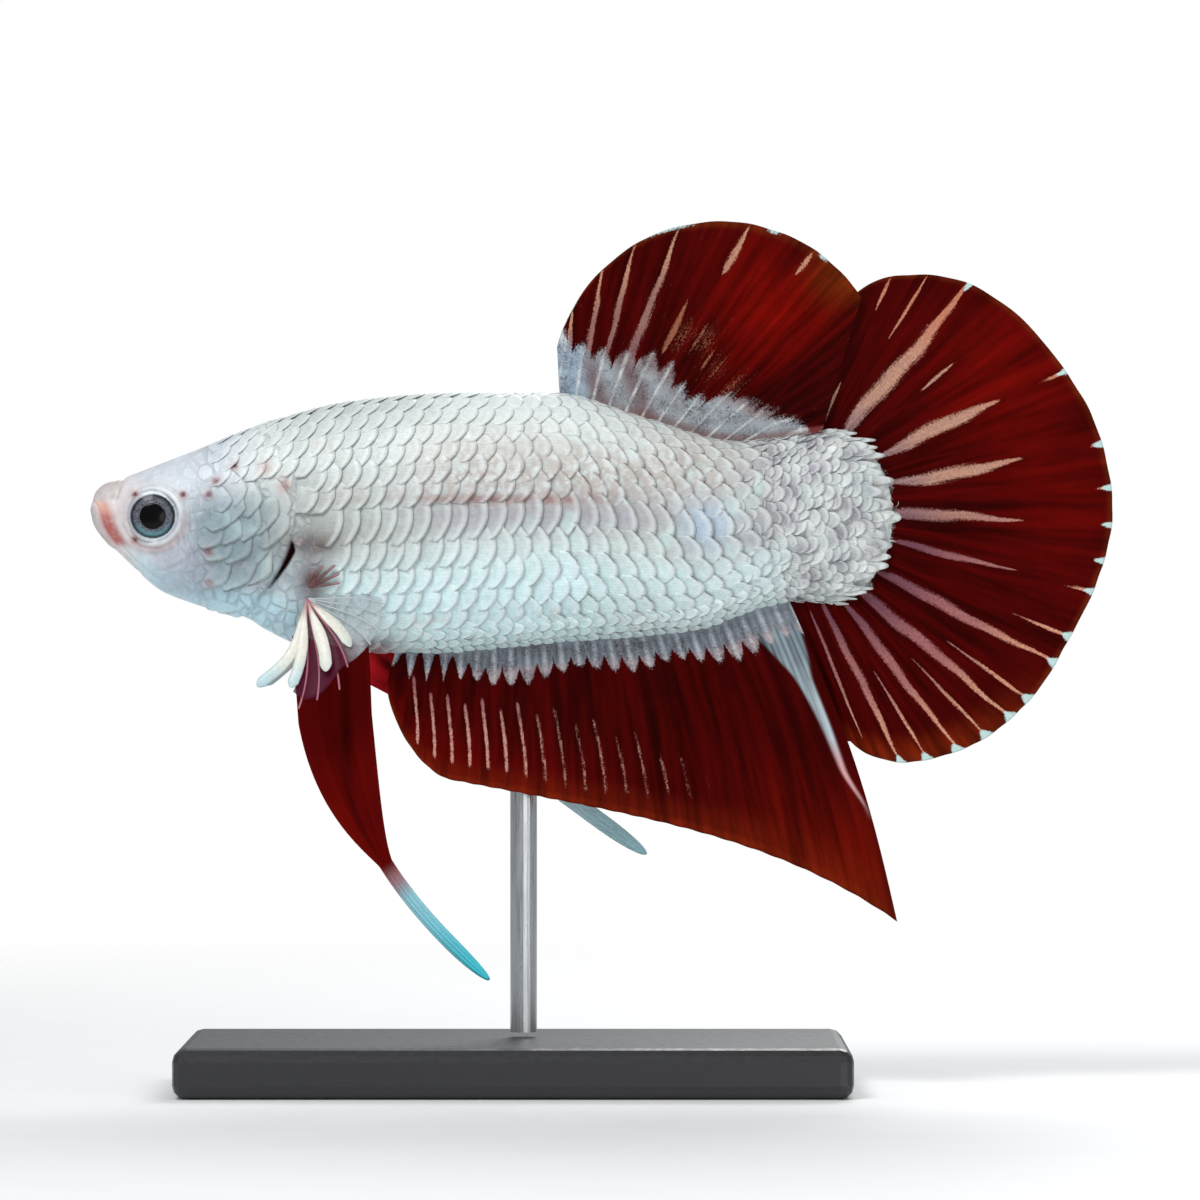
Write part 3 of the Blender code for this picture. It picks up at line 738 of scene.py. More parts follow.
def build_stem_scales(side, way, material):
    """The rough scales of the tail stem, which run out over the tail fin's root."""
    rng = side_random(21, side)
    plates = []
    for index in range(-10, 11):
        angle = index * STEM_ROW
        s = (STEM_SCALES_START + (index % 2) * 0.4 + 0.5 * abs(math.sin(angle))
             + rng.uniform(-0.4, 0.4))
        end = STEM_END + (STEM_ROUND - 0.35) * math.cos(angle) ** 0.8 + rng.uniform(-0.35, 0.25)
        rate = float(row_rate(s, angle))
        while s < end:
            finger = float(ease(end - 1.4, end - 0.6, s))
            step = rng.uniform(0.46, 0.72)
            pitch = step * mix(1.0, 2.1, finger)
            s += step
            half_height = STEM_ROW * rate * rng.uniform(0.5, 0.8) * mix(1.0, 0.72, finger)
            lift = rng.uniform(0.04, 0.10) + 0.06 * finger * rng.uniform(0.0, 1.0)
            plates.append((s, angle + rng.normal(0, 0.035), rate, pitch * rng.uniform(1.0, 1.3),
                           half_height, lift, rng.normal(0, 0.05), rng.uniform(0.4, 0.9)))
    add_plates(f"stem_scales_{side}", body_surface(way), plates, rng, material, body_unwrap,
               thickness=0.05)


# Height over the belly's edge and length of the plates in each row over the anal fin.
BELLY_ROWS = ((0.95, 0.78), (0.50, 0.72), (0.12, 0.66))
BELLY_ROWS_START = 19.0
BELLY_ROWS_END = 41.8


def build_belly_scales(side, way, material):
    """Three rows of small scales that lie over the top of the anal fin."""
    rng = side_random(41, side)
    plates = []
    for row, (over, step) in enumerate(BELLY_ROWS):
        s = BELLY_ROWS_START + 0.4 * row
        while s < BELLY_ROWS_END:
            s += step * rng.uniform(0.92, 1.08)
            angle = float(angle_at(np.array(s), smooth_curve(BELLY, s) + over))
            rate = float(row_rate(s, angle))
            full = float(ease(18.5, 22.0, s))
            plates.append((s, angle + rng.normal(0, 0.008), rate, step * rng.uniform(1.0, 1.1),
                           rng.uniform(0.34, 0.42), mix(0.12, 0.20, full) + 0.02 * row,
                           rng.normal(0.04, 0.02), 0.9))
    add_plates(f"belly_scales_{side}", body_surface(way), plates, rng, material, body_unwrap,
               thickness=0.05, point=2.2)


def cheek_place(radius, angle):
    """The place along the body and the section angle of a place given round the gill."""
    s = GILL_CENTRE[0] + radius * np.cos(angle)
    return s, angle_at(s, GILL_CENTRE[1] + radius * np.sin(angle))


def cheek_surface(way):
    def surface(radius, angle):
        return round_point(*cheek_place(radius, angle)) * np.array((1.0, -way, 1.0))
    return surface


def cheek_unwrap(radius, angle):
    return body_unwrap(*cheek_place(radius, angle))


CHEEK_COLUMNS = (5.4, 6.35, 7.25, 8.15, 8.98)
CHEEK_STEP = math.radians(15.5)


def build_cheek_scales(side, way, material):
    """The tall scales of the gill cover, in columns round the gill arc."""
    rng = side_random(31, side)
    plates = []
    for column, radius in enumerate(CHEEK_COLUMNS):
        for index in range(-5, 3):
            angle = (index + 0.5 * (column % 2)) * CHEEK_STEP + rng.uniform(-0.06, 0.06)
            low = -38 - 5.0 * column
            by_slit = column == 4 and SLIT_ANGLES[0] - 12 < math.degrees(angle)
            if angle < math.radians(low) or angle > math.radians(9):
                continue
            firm = float(ease(low, low + 15, math.degrees(angle))) * (0.55 + 0.11 * column)
            half_height = CHEEK_STEP * radius * rng.uniform(0.55, 0.78)
            place = radius + rng.normal(0, 0.09) * (column < 4) - 0.06 * by_slit
            plates.append((place, angle, radius,
                           rng.uniform(0.95, 1.2), half_height, mix(0.02, 0.065, firm),
                           rng.normal(0.03, 0.05), mix(0.30, 0.85, firm) * rng.uniform(0.7, 1.1)))
    add_plates(f"cheek_scales_{side}", cheek_surface(way), plates, rng, material, cheek_unwrap,
               thickness=0.03, point=1.25)


# ------------------------------------------------------------------ fins
def polar(centre, radius, degrees):
    angle = np.radians(degrees)
    return centre[0] + radius * np.cos(angle), centre[1] + radius * np.sin(angle)


def fish_point(s, side, height):
    return np.stack(np.broadcast_arrays(s, side, height), -1)


def off_ray(phase):
    """How far a place is from the nearest ray, in steps between rays."""
    return np.abs(phase - np.round(phase))


def ray_ridges(phase, v, splits, width):
    """Ridges of rays that fork on the way out; phase counts the rays across the fin."""
    offset = off_ray(phase)
    for begin, reach in splits:
        offset = np.abs(offset - reach * ease(begin, begin + 0.30, v))
    return bump(offset, 0.0, width)


def spindles(u, v, marks, span):
    """Long pale marks: (across, from, to, half width in mm, where along it is widest)."""
    total = nothing(u, v)
    for place, start, end, half_width, peak in marks:
        part = np.clip((v - start) / (end - start), 0.0, 1.0)
        rise = 1.3 * peak / (1 - peak)
        shape = (part / peak) ** rise * ((1 - part) / (1 - peak)) ** 1.3
        width = half_width * (0.88 * shape + 0.12) + 0.03
        waver = 0.03 * np.sin(9.0 * v + 40.0 * place) + 0.02 * np.sin(23.0 * v + 70.0 * place)
        near = 1.35 - np.abs((u - place) * span + waver * half_width / 0.2) / width
        inside = ease(start - 0.02, start + 0.02, v) * ease(end + 0.03, end - 0.03, v)
        total = np.maximum(total, np.clip(near, 0, 1) * inside)
    return total


def build_fin(name, node, place, across, along, thickness, values, tints, material):
    """A closed thin sheet through place(u, v), with its own thickness and masks."""
    v, u = np.meshgrid(np.linspace(0, 1, along), np.linspace(0, 1, across), indexing="ij")
    centre = place(u, v)
    half = grid_normals(centre) * thickness(u, v)[..., None] / 2
    width = np.linalg.norm(np.diff(centre[-1], axis=0), axis=-1).sum()
    length = np.linalg.norm(np.diff(centre[:, across // 2], axis=0), axis=-1).sum()
    masks = {key: mask(u, v) for key, mask in values.items()}
    masks.update(fan=u * width, out=v * length)
    masks = {key: np.stack((mask, mask)) for key, mask in masks.items()}
    colours = {key: np.stack((np.broadcast_to(tint(u, v, centre), centre.shape),) * 2)
               for key, tint in tints.items()}
    points = np.stack((centre + half, centre - half))
    piece = add_piece(name, points, [sheet_faces(along, across)], material, masks, colours)
    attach(piece, "root")
    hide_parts(node)


# The membrane's red, and how far inside the body the fins' roots begin.
FIN_RED = (0.27, 0.012, 0.010)
ROOT_DEPTH = 0.35

# The dorsal fin.
DORSAL_RAYS = 12
DORSAL_TURN = 0.74
DORSAL_BASE = (28.2, 39.6)
DORSAL_CENTRE = (37.8, 6.9)
DORSAL_RADIUS = 10.1
DORSAL_FAN = (165.0, 33.0)
DORSAL_END = (43.9, 4.35)


def dorsal_place(u, v):
    """The rays fan from a short base; past DORSAL_TURN their tips run down the rear edge."""
    s = mix(*DORSAL_BASE, u)
    root = smooth_curve(BACK, s) - ROOT_DEPTH
    ray = TAU * DORSAL_RAYS * u
    angle = mix(*DORSAL_FAN, np.clip(u / DORSAL_TURN, 0.0, 1.0) ** 0.75)
    ripple = 1 + 0.0015 * np.cos(ray) + 0.0015 * np.sin(37.0 * u)
    tip_s, tip_height = polar(DORSAL_CENTRE, DORSAL_RADIUS * ripple, angle)
    down = np.clip((u - DORSAL_TURN) / (1 - DORSAL_TURN), 0.0, 1.0)
    tip_s = mix(tip_s, DORSAL_END[0], down)
    tip_height = mix(tip_height, DORSAL_END[1], down)
    sway = -v * (0.5 * np.sin(math.pi * u) + 0.45 * u)
    fold = 0.025 * v * np.cos(ray)
    wave = 0.18 * v * np.sin(TAU * 2.3 * u + 2.0 * v)
    return fish_point(mix(s, tip_s, v), sway + fold + wave, mix(root, tip_height, v))


def dorsal_ridges(u, v):
    return ray_ridges(DORSAL_RAYS * u, v, ((0.35, 0.24), (0.7, 0.11)), 0.09)


DORSAL_MARKS = [(0.035, 0.40, 1.0, 0.16, 0.5), (0.105, 0.08, 1.0, 0.17, 0.5),
                (0.175, 0.16, 1.0, 0.18, 0.5), (0.265, 0.16, 1.0, 0.26, 0.3),
                (0.365, 0.33, 0.60, 0.20, 0.4), (0.415, 0.75, 0.99, 0.20, 0.4),
                (0.575, 0.86, 0.99, 0.14, 0.5), (0.45, 0.36, 0.52, 0.12, 0.5),
                (0.52, 0.30, 0.42, 0.10, 0.5)]
DORSAL_REACH = [(27.0, 4.3), (29.5, 3.7), (32.0, 3.9), (35.0, 3.3), (38.6, 2.9), (39.7, 1.9),
                (42.0, 1.3), (43.0, 0.5), (43.3, 0.0)]


def dorsal_tint(u, v, centre):
    s, height = centre[..., 0], centre[..., 2]
    rear_edge = 9.0 + 0.75 * (s - 43.0)
    over = height - smooth_curve(BACK, s)
    return layered(
        FIN_RED,
        # A bright red patch: painted light shining through the membrane.
        ((0.52, 0.045, 0.015), 0.85 * spot(s, height, (41.0, 12.0), 3.6)),
        # Painted shadow on the dorsal fin's rear, where it and the tail fin overlap.
        ((0.17, 0.01, 0.012), 0.75 * ease(0.6, -0.6, height - rear_edge) * ease(36, 39, s)),
        ((0.40, 0.15, 0.05), 0.75 * ease(0.955, 0.99, v) * ease(0.78, 0.70, u)),
        ((0.45, 0.22, 0.20), ease(0.45, 0.2, over) * ease(31.0, 33.0, s)),
        ((0.52, 0.22, 0.05), 0.6 * spot(s, height, (44.6, 13.6), 1.4)),
        ((0.50, 0.20, 0.05), 0.6 * spot(s, height, (46.0, 13.2), 1.0)))


def dorsal_silver(u, v):
    centre = dorsal_place(u, v)
    s = centre[..., 0]
    over = centre[..., 2] - smooth_curve(BACK, s)
    phase = DORSAL_RAYS * u
    uneven = 1 + 0.17 * np.sin(5.1 * np.round(phase)) + 0.08 * np.sin(19.0 * u)
    valley = 0.25 * (2 * off_ray(phase)) ** 1.3 * ease(40.0, 38.5, s)
    return ease(0.55, -0.55, over - smooth_curve(DORSAL_REACH, s) * uneven * (1 - valley))


def dorsal_metal(u, v, centre):
    """The silver's colour: blue grey, with a warm brown breath in front and by the back."""
    s, over = centre[..., 0], centre[..., 2] - smooth_curve(BACK, centre[..., 0])
    warm = 0.5 + 0.5 * np.sin(2.3 * s + 1.1 * over)
    end = over / np.maximum(smooth_curve(DORSAL_REACH, s), 0.3)
    return layered(
        (0.64, 0.67, 0.69),
        ((0.47, 0.38, 0.39), 0.85 * warm * ease(36.5, 33.0, s)),
        ((0.62, 0.70, 0.76), ease(30.2, 29.2, s)),
        ((0.54, 0.41, 0.40), 0.7 * ease(0.6, 1.0, end) * ease(30, 31, s)),
        ((0.48, 0.33, 0.30), 0.7 * ease(0.7, 0.2, over) * ease(30, 33, s)))


def dorsal_mark(u, v, centre):
    return layered(
        (0.50, 0.37, 0.39),
        ((0.62, 0.46, 0.43), ease(0.25, 0.5, v)),
        ((0.80, 0.59, 0.48), ease(0.6, 0.9, v)),
        ((0.62, 0.40, 0.30), ease(0.30, 0.36, u) * ease(0.65, 0.55, v)))


def dorsal_streaks(u, v):
    """The pale streaks, and faint patches past the silver that the grain breaks into specks."""
    specks = nothing(u, v)
    for place, out in ((0.40, 0.45), (0.48, 0.43), (0.56, 0.34), (0.66, 0.30)):
        specks = specks + 0.46 * spot(u, v, (place, out), (0.035, 0.10))
    solid = spindles(u, v, DORSAL_MARKS, mix(11.4, 24.0, v))
    soft = mix(0.62, 1.0, ease(0.42, 0.34, u) + ease(0.60, 0.70, v))
    return np.maximum(specks, solid * np.minimum(soft, 1.0))


def dorsal_cyan(u, v):
    places = ((0.25, 0.06), (0.47, 0.02), (0.60, 0.02), (0.03, 0.03))
    patches = sum(bump(u, *place) for place in places)
    return 0.75 * ease(0.970, 0.995, v) * np.minimum(patches, 1.0)


# The caudal fin.
CAUDAL_CENTRE = (46.5, -0.9)
CAUDAL_RADIUS = 15.0
CAUDAL_ROOT_FAN = (116.0, -138.0)
CAUDAL_TIPS = [(0.0, 94.0), (0.28, 38.0), (0.4465, -1.0), (0.702, -53.5), (0.851, -81.5),
               (1.0, -98.0)]
CAUDAL_RAYS = [97, 84, 75.5, 66, 54, 37.5, 27, 17.5, 7.5, -1, -9.7, -17.5, -29.7, -37, -47.6,
               -53.5, -60.6, -68, -75.4, -81.5, -89, -98]
# Marks by the direction in degrees in which they meet the rim.
CAUDAL_MARKS = [(85, 0.02, 0.35, 0.18, 0.4), (84, 0.78, 1.0, 0.13, 0.6),
                (75.5, 0.60, 1.0, 0.10, 0.5), (66, 0.0, 1.0, 0.56, 0.33),
                (54, 0.40, 0.62, 0.08, 0.5), (37.5, 0.0, 0.66, 0.46, 0.52),
                (36.5, 0.85, 1.0, 0.11, 0.7), (17.5, 0.0, 0.63, 0.39, 0.48),
                (17.8, 0.94, 1.0, 0.10, 0.7), (7.5, 0.93, 1.0, 0.10, 0.7),
                (-1, 0.0, 0.60, 0.33, 0.28), (-1.2, 0.96, 1.0, 0.10, 0.7),
                (-9.7, 0.94, 1.0, 0.10, 0.7), (-17, 0.03, 0.62, 0.20, 0.35),
                (-17.5, 0.85, 1.0, 0.10, 0.7), (-29.7, 0.68, 1.0, 0.13, 0.7),
                (-37, 0.0, 1.0, 0.33, 0.35), (-47.6, 0.50, 1.0, 0.11, 0.6),
                (-53.5, 0.0, 1.0, 0.38, 0.30), (-60.6, 0.45, 1.0, 0.11, 0.6),
                (-68, 0.0, 1.0, 0.31, 0.35), (-75.4, 0.45, 1.0, 0.10, 0.5),
                (-81.5, 0.0, 1.0, 0.29, 0.40), (-89, 0.10, 0.90, 0.13, 0.4)]


def caudal_direction(u):
    return smooth_curve(CAUDAL_TIPS, u)


def caudal_share(degrees):
    """The share across the fin of the ray that meets the rim in this direction."""
    share = np.linspace(0, 1, 400)
    return float(np.interp(-degrees, -caudal_direction(share), share))


def caudal_phase(u):
    return np.interp(-caudal_direction(u), -np.array(CAUDAL_RAYS, float),
                     np.arange(len(CAUDAL_RAYS)))


def caudal_place(u, v):
    """The rays fan from the tail stem's rounded end to a nearly round rim."""
    root_angle = mix(*CAUDAL_ROOT_FAN, u)
    s, rise = polar((STEM_END, 0.0), STEM_ROUND - 0.3, root_angle)
    middle, half_height, _ = section(np.array(STEM_END))
    behind = middle + (half_height - 0.3) * np.sin(np.radians(root_angle))
    back, belly = smooth_curve(BACK, s) - ROOT_DEPTH, smooth_curve(BELLY, s) + ROOT_DEPTH
    height = np.where(np.abs(root_angle) > 90, np.where(rise > 0, back, belly), behind)
    degrees = caudal_direction(u)
    ray = TAU * caudal_phase(u)
    corner = np.minimum(1.6, np.abs(degrees / 90.0) ** 12)
    scallop = 0.0015 * np.cos(ray) + 0.0015 * np.sin(61.0 * u)
    radius = CAUDAL_RADIUS * (1 - 0.055 * bump(degrees, -28.0, 22.0) - 0.07 * corner
                              + 0.035 * bump(degrees, 64.0, 17.0) + scallop)
    tip_s, tip_height = polar(CAUDAL_CENTRE, radius, degrees)
    wave = np.sin(TAU * 1.1 * u - 0.6) * (0.4 + 0.6 * u)
    sway = v * (0.9 * wave + 1.0 * u ** 6) + 0.035 * v * np.cos(ray)
    return fish_point(mix(s, tip_s, v), sway, mix(height, tip_height, v))


def caudal_ridges(u, v):
    return ray_ridges(caudal_phase(u), v, ((0.15, 0.25), (0.5, 0.12)), 0.10)


def caudal_streaks(u, v):
    marks = [(caudal_share(mark[0]), *mark[1:]) for mark in CAUDAL_MARKS]
    turn = np.radians(caudal_direction(u - 0.01) - caudal_direction(u + 0.01)) / 0.02
    return spindles(u, v, marks, mix(16.0, CAUDAL_RADIUS * turn, v))


def caudal_silver(u, v):
    phase = caudal_phase(u)
    uneven = 0.025 + 0.015 * np.sin(3.7 * np.round(phase))
    return 0.8 * ease(0.03, -0.03, v - uneven * (1 - 1.5 * off_ray(phase)))


def caudal_metal(u, v, centre):
    return linear(0.74, 0.77, 0.78)


def caudal_mark(u, v, centre):
    upper = layered((0.64, 0.52, 0.52), ((0.80, 0.62, 0.53), ease(0.05, 0.3, v)),
                    ((0.84, 0.55, 0.44), ease(0.45, 0.8, v)))
    lower = layered((0.46, 0.31, 0.36), ((0.68, 0.45, 0.45), ease(0.1, 0.45, v)),
                    ((0.88, 0.63, 0.52), ease(0.5, 0.85, v)))
    return mix(upper, lower, ease(0.38, 0.52, u)[..., None])


def caudal_tint(u, v, centre):
    s, height = centre[..., 0], centre[..., 2]
    return layered(
        FIN_RED,
        # Bright red patches: painted light shining through the membrane.
        ((0.47, 0.035, 0.015), 0.8 * spot(s, height, (54.5, 7.5), 4.6)),
        ((0.45, 0.03, 0.015), 0.6 * spot(s, height, (58.5, 0.0), 4.0)),
        ((0.50, 0.15, 0.04), 0.8 * ease(0.80, 0.97, v) * ease(0.62, 0.75, u)),
        ((0.42, 0.15, 0.05), 0.8 * ease(0.965, 0.995, v)))


def caudal_cyan(u, v):
    """Small flares where the pale rays meet the rim, apart from the two topmost."""
    total = nothing(u, v)
    spread = np.clip((v - 0.93) / 0.07, 0.0, 1.0)
    for degrees, _, end, _, _ in CAUDAL_MARKS:
        if end > 0.96 and degrees < 70:
            size = mix(0.0025, 0.0075, float(ease(0.0, -50.0, degrees)))
            width = 0.0012 + size * spread ** 1.5
            near = np.abs(u - caudal_share(degrees)) / width
            total = np.maximum(total, ease(1.7, 0.4, near))
    return total * ease(0.925, 0.975, v)


# The anal fin.
ANAL_RAYS = 24
ANAL_BASE = (18.4, 41.8)
# The margin's front curve: where it ends, how high it starts and how far it drops.
ANAL_FRONT_END = 21.8
ANAL_FRONT_TOP = -10.7
ANAL_FRONT_DROP = 5.8
ANAL_TIP = 48.4


def anal_margin(s):
    part = np.clip((ANAL_FRONT_END - s) / 4.0, 0.0, 1.0)
    front = ANAL_FRONT_TOP - ANAL_FRONT_DROP * (1 - part ** 1.6) ** (1 / 1.6)
    run = s - ANAL_FRONT_END
    sag = 3.4 * (run / (ANAL_TIP - ANAL_FRONT_END)) ** 4
    behind = ANAL_FRONT_TOP - ANAL_FRONT_DROP - 0.19 * run - sag
    return np.where(s < ANAL_FRONT_END, front, behind)


def anal_place(u, v):
    """The rays run down from the belly and lean ever more to the rear."""
    s = mix(*ANAL_BASE, u)
    tip_s = s + mix(-0.6, 6.6, u * u)
    bow = 0.7 * u * u * np.sin(math.pi * v)
    ripple = np.cos(TAU * ANAL_RAYS * u)
    sway = -v * (0.45 * np.sin(TAU * 1.25 * u) + 0.6 * u ** 4) + 0.03 * v * ripple
    tip = anal_margin(tip_s) - 0.02 * ripple
    root = smooth_curve(BELLY, s) + 0.3
    return fish_point(mix(s, tip_s, v) + bow, sway, mix(root, tip, v))


def anal_ridges(u, v):
    ridges = ray_ridges(ANAL_RAYS * u, v, ((0.45, 0.22), (0.8, 0.08)), 0.15)
    return ridges * mix(0.35, 1.0, ease(0.30, 0.45, v))


def anal_silver(u, v):
    """A silver sheath along the base, which breaks up into single spikes in front."""
    s = mix(*ANAL_BASE, u)
    below = smooth_curve(BELLY, s) - anal_place(u, v)[..., 2]
    phase = ANAL_RAYS * u
    offset, number = 2 * off_ray(phase), np.round(phase)
    uneven = 1 + 0.13 * np.sin(7.3 * number) + 0.10 * np.sin(12.9 * number)
    front = ease(24.0, 20.5, s)
    gaps = mix(0.42 * offset ** 2, np.minimum(1.0, 1.25 * offset), front)
    reach = mix(2.1, 1.55, front) * uneven * ease(-0.02, 0.02, u) * (1 - gaps)
    return ease(0.25, -0.25, below - reach)


def anal_streaks(u, v):
    """Thin pale lines between the rays, unevenly long and beaded."""
    phase = ANAL_RAYS * (u + 0.012 * np.sin(4.2 * v + 0.8)) - 0.5
    number = np.round(phase)
    start = smooth_curve([(0.0, 0.2), (0.1, 0.40), (0.4, 0.48), (0.7, 0.70)], u)
    start = start + 0.04 * np.sin(3.3 * number)
    end = mix(0.94, 0.85, ease(0.4, 0.7, u)) + 0.03 * np.sin(5.9 * number)
    beads = 0.90 + 0.10 * np.sin(70.0 * v + 2.0 * number)
    inside = ease(start - 0.06, start + 0.03, v) * ease(end, end - 0.06, v)
    fade = ease(0.02, 0.06, u) * mix(0.55, 1.0, ease(0.45, 0.2, u)) * ease(0.78, 0.62, u)
    return ease(0.17, 0.03, off_ray(phase)) * inside * beads * fade


def anal_metal(u, v, centre):
    """Dark blue grey over the base, with flesh pink ends."""
    s = mix(*ANAL_BASE, u)
    part = (smooth_curve(BELLY, s) - centre[..., 2]) / mix(1.9, 1.4, ease(24.5, 20.5, s))
    phase = ANAL_RAYS * u
    between = off_ray(phase) + 0.25 - 0.25 * np.cos(2 * TAU * phase)
    return layered(
        (0.68, 0.71, 0.74),
        ((0.32, 0.35, 0.40), between),
        ((0.60, 0.66, 0.70), 0.6 * ease(0.30, 0.05, part)),
        ((0.70, 0.62, 0.62), 0.65 * ease(0.62, 0.90, part)))


def anal_mark(u, v, centre):
    return layered((0.62, 0.40, 0.42), ((0.85, 0.62, 0.56), ease(0.35, 0.7, v)))


def anal_pale(u, v):
    """The pale last rays, a wide fan at the root that narrows along the rear edge."""
    middle = smooth_curve([(0.0, 0.93), (0.2, 0.950), (0.4, 0.963), (0.55, 0.969),
                           (0.66, 0.995)], v)
    width = smooth_curve([(0.0, 0.085), (0.1, 0.055), (0.2, 0.032), (0.27, 0.016), (0.4, 0.009),
                          (0.66, 0.002)], v)
    near = ease(width + 0.006, width - 0.004, np.abs(u - middle))
    gap = 1 - 0.45 * ease(0.2, -0.6, np.cos(TAU * 75 * u)) * ease(0.35, 0.2, v)
    return near * ease(0.70, 0.62, v) * gap


def anal_tint(u, v, centre):
    margin = ease(0.95, 0.99, v) + 0.45 * ease(0.80, 0.95, v)
    pale = layered((0.56, 0.64, 0.68), ((0.74, 0.80, 0.83), ease(0.15, 0.35, v)),
                   ((0.82, 0.62, 0.62), ease(0.42, 0.56, v)))
    return layered(
        FIN_RED,
        ((0.46, 0.07, 0.02), ease(0.60, 1.0, u) * ease(0.45, 1.0, v)),
        ((0.40, 0.02, 0.012), 0.6 * ease(0.55, 0.85, v) * ease(0.6, 0.3, u)),
        ((0.50, 0.14, 0.05), np.minimum(0.9, margin)),
        (pale, anal_pale(u, v)))


def anal_cyan(u, v):
    return 0.5 * ease(0.985, 0.995, v) * ease(0.3, 0.0, u)


def fin_material(name, ragged=0.9, darkest=0.32):
    """Dark red membrane with pale streaks and a silver root, grained along its rays."""
    look = Shading(name, Roughness=0.5, Specular_IOR_Level=0.015)
    grain = look.grain(0.20, 3.0, 4.0)
    broad = look.grain(1.1, 10.0, 2.0)
    mottle = look.noise(0.9, 4.0, spread=0.6)
    sand = look.noise(0.11, spread=0.7)
    ridge, silver = look.value("ridge"), look.value("silver")
    # Broad light and dark bands along the rays: partly the membrane's uneven red, partly painted
    # shade of its folds.
    tone = 0.25 * mottle + (1.5 * broad + 0.30 * grain)
    red = look.shaded(look.tint(), look.steps(tone, 0.62, 1.42, darkest, 1.15))
    red = look.mixed(0.10 * ridge, red, (0.50, 0.05, 0.03))
    rough = grain + (1.3 * sand + -1.15)
    paint = look.mixed(look.steps(sand, 0.35, 0.65, 0.34, 0.0), look.tint("mark"),
                       (0.45, 0.16, 0.15))
    streak = look.steps(look.value("streak") + ragged * rough, 0.32, 0.90, 0.0, 0.92)
    marked = look.mixed(streak, red, paint)
    bright = look.steps(ridge + 0.9 * sand, 0.45, 1.35)
    bright = bright * look.steps(look.noise(1.5, 2.0), 0.40, 0.60, 0.35, 1.0)
    metal = look.mixed(0.75 * bright, look.tint("metal"), (0.88, 0.90, 0.90))
    dim = look.steps(mottle + 0.8 * sand, 1.05, 0.70, 0.0, 0.45)
    metal = look.mixed(dim, metal, (0.34, 0.33, 0.37))
    broken = ((mottle + -0.5) + 1.3 * rough) * look.steps(silver, 0.0, 0.12)
    marked = look.mixed(look.steps(silver + broken, 0.25, 1.0, 0.0, 0.95), marked, metal)
    rim = look.steps(look.value("cyan") + 0.7 * rough, 0.35, 0.8, 0.0, 0.9)
    look.drive("Base Color", look.mixed(rim, marked, (0.78, 0.90, 0.89)))
    look.bumped(grain + 0.4 * mottle, 0.03)
    look.drive("Roughness", look.steps(grain, 0.3, 0.7, 0.42, 0.6))
    return look.material


def nothing(u, v):
    return np.zeros(u.shape)


def build_median_fins():
    plain_look = fin_material("fin_red_pale_streaks")
    ragged_look = fin_material("fin_red_ragged_streaks", 1.2)
    sets = (
        ("dorsal_fin", dorsal_place, 300, 90, dorsal_ridges, dorsal_silver, dorsal_streaks,
         dorsal_cyan, dorsal_tint, dorsal_mark, dorsal_metal),
        ("caudal_fin", caudal_place, 470, 105, caudal_ridges, caudal_silver, caudal_streaks,
         caudal_cyan, caudal_tint, caudal_mark, caudal_metal),
        ("anal_fin", anal_place, 400, 90, anal_ridges, anal_silver, anal_streaks, anal_cyan,
         anal_tint, anal_mark, anal_metal),
    )
    for name, place, across, along, ridges, silver, streaks, cyan, tint, mark, metal in sets:
        def thickness(u, v, ridges=ridges, silver=silver):
            taper = 1.2 - 0.7 * v
            return (0.08 + (0.05 + 0.09 * (1 - v)) * ridges(u, v) + 0.08 * silver(u, v)) * taper
        masks = {"ridge": ridges, "silver": silver, "streak": streaks, "cyan": cyan}
        tints = {"tint": tint, "mark": mark, "metal": metal}
        look = ragged_look if name == "dorsal_fin" else plain_look
        build_fin(f"{name}_rays", name, place, across, along, thickness, masks, tints, look)


# The pelvic fins.
PELVIC_ROUTE = {"left": [(14.4, -9.2), (14.9, -17.7), (17.2, -22.3), (24.0, -28.3)],
                "right": [(15.0, -8.6), (19.5, -10.2), (26.0, -15.9), (33.4, -21.1)]}
PELVIC_LEAF_WIDTH = {"left": 3.7, "right": 1.6}
PELVIC_TIP_WIDTH = {"left": 0.85, "right": 1.0}
PELVIC_SPLAY = {"left": 3.0, "right": 5.0}


def pelvic_route(side, t):
    weights = ((1 - t) ** 3, 3 * t * (1 - t) ** 2, 3 * t * t * (1 - t), t ** 3)
    return [sum(w * p[axis] for w, p in zip(weights, PELVIC_ROUTE[side])) for axis in (0, 1)]


def pelvic_place(side, way):
    def place(u, v):
        leaf = np.maximum(0.0, 1 - (v / 0.60) ** 2.6) ** 1.2
        taper = np.sqrt(1 - 0.97 * np.clip((v - 0.86) / 0.14, 0.0, 1.0) ** 2.4)
        width = (PELVIC_TIP_WIDTH[side] + PELVIC_LEAF_WIDTH[side] * leaf) * taper
        ahead_s, ahead_h = (np.asarray(b) - np.asarray(a) for a, b in zip(
            pelvic_route(side, np.maximum(0.0, v - 0.01)),
            pelvic_route(side, np.minimum(1.0, v + 0.01))))
        size = np.hypot(ahead_s, ahead_h)
        s, height = pelvic_route(side, v)
        offset = width * (u - 0.5)
        fold = 0.12 * leaf * np.sin(TAU * 1.5 * u) + 0.05 * np.cos(TAU * 4 * u) * leaf
        out = 1.0 + PELVIC_SPLAY[side] * v + fold
        spot_s, spot_height = s - offset * ahead_h / size, height + offset * ahead_s / size
        held = np.clip(1 - v / 0.15, 0.0, 1.0)
        inside = smooth_curve(BELLY, spot_s) + 1.0
        return fish_point(spot_s, way * out, mix(spot_height, inside, held))
    return place


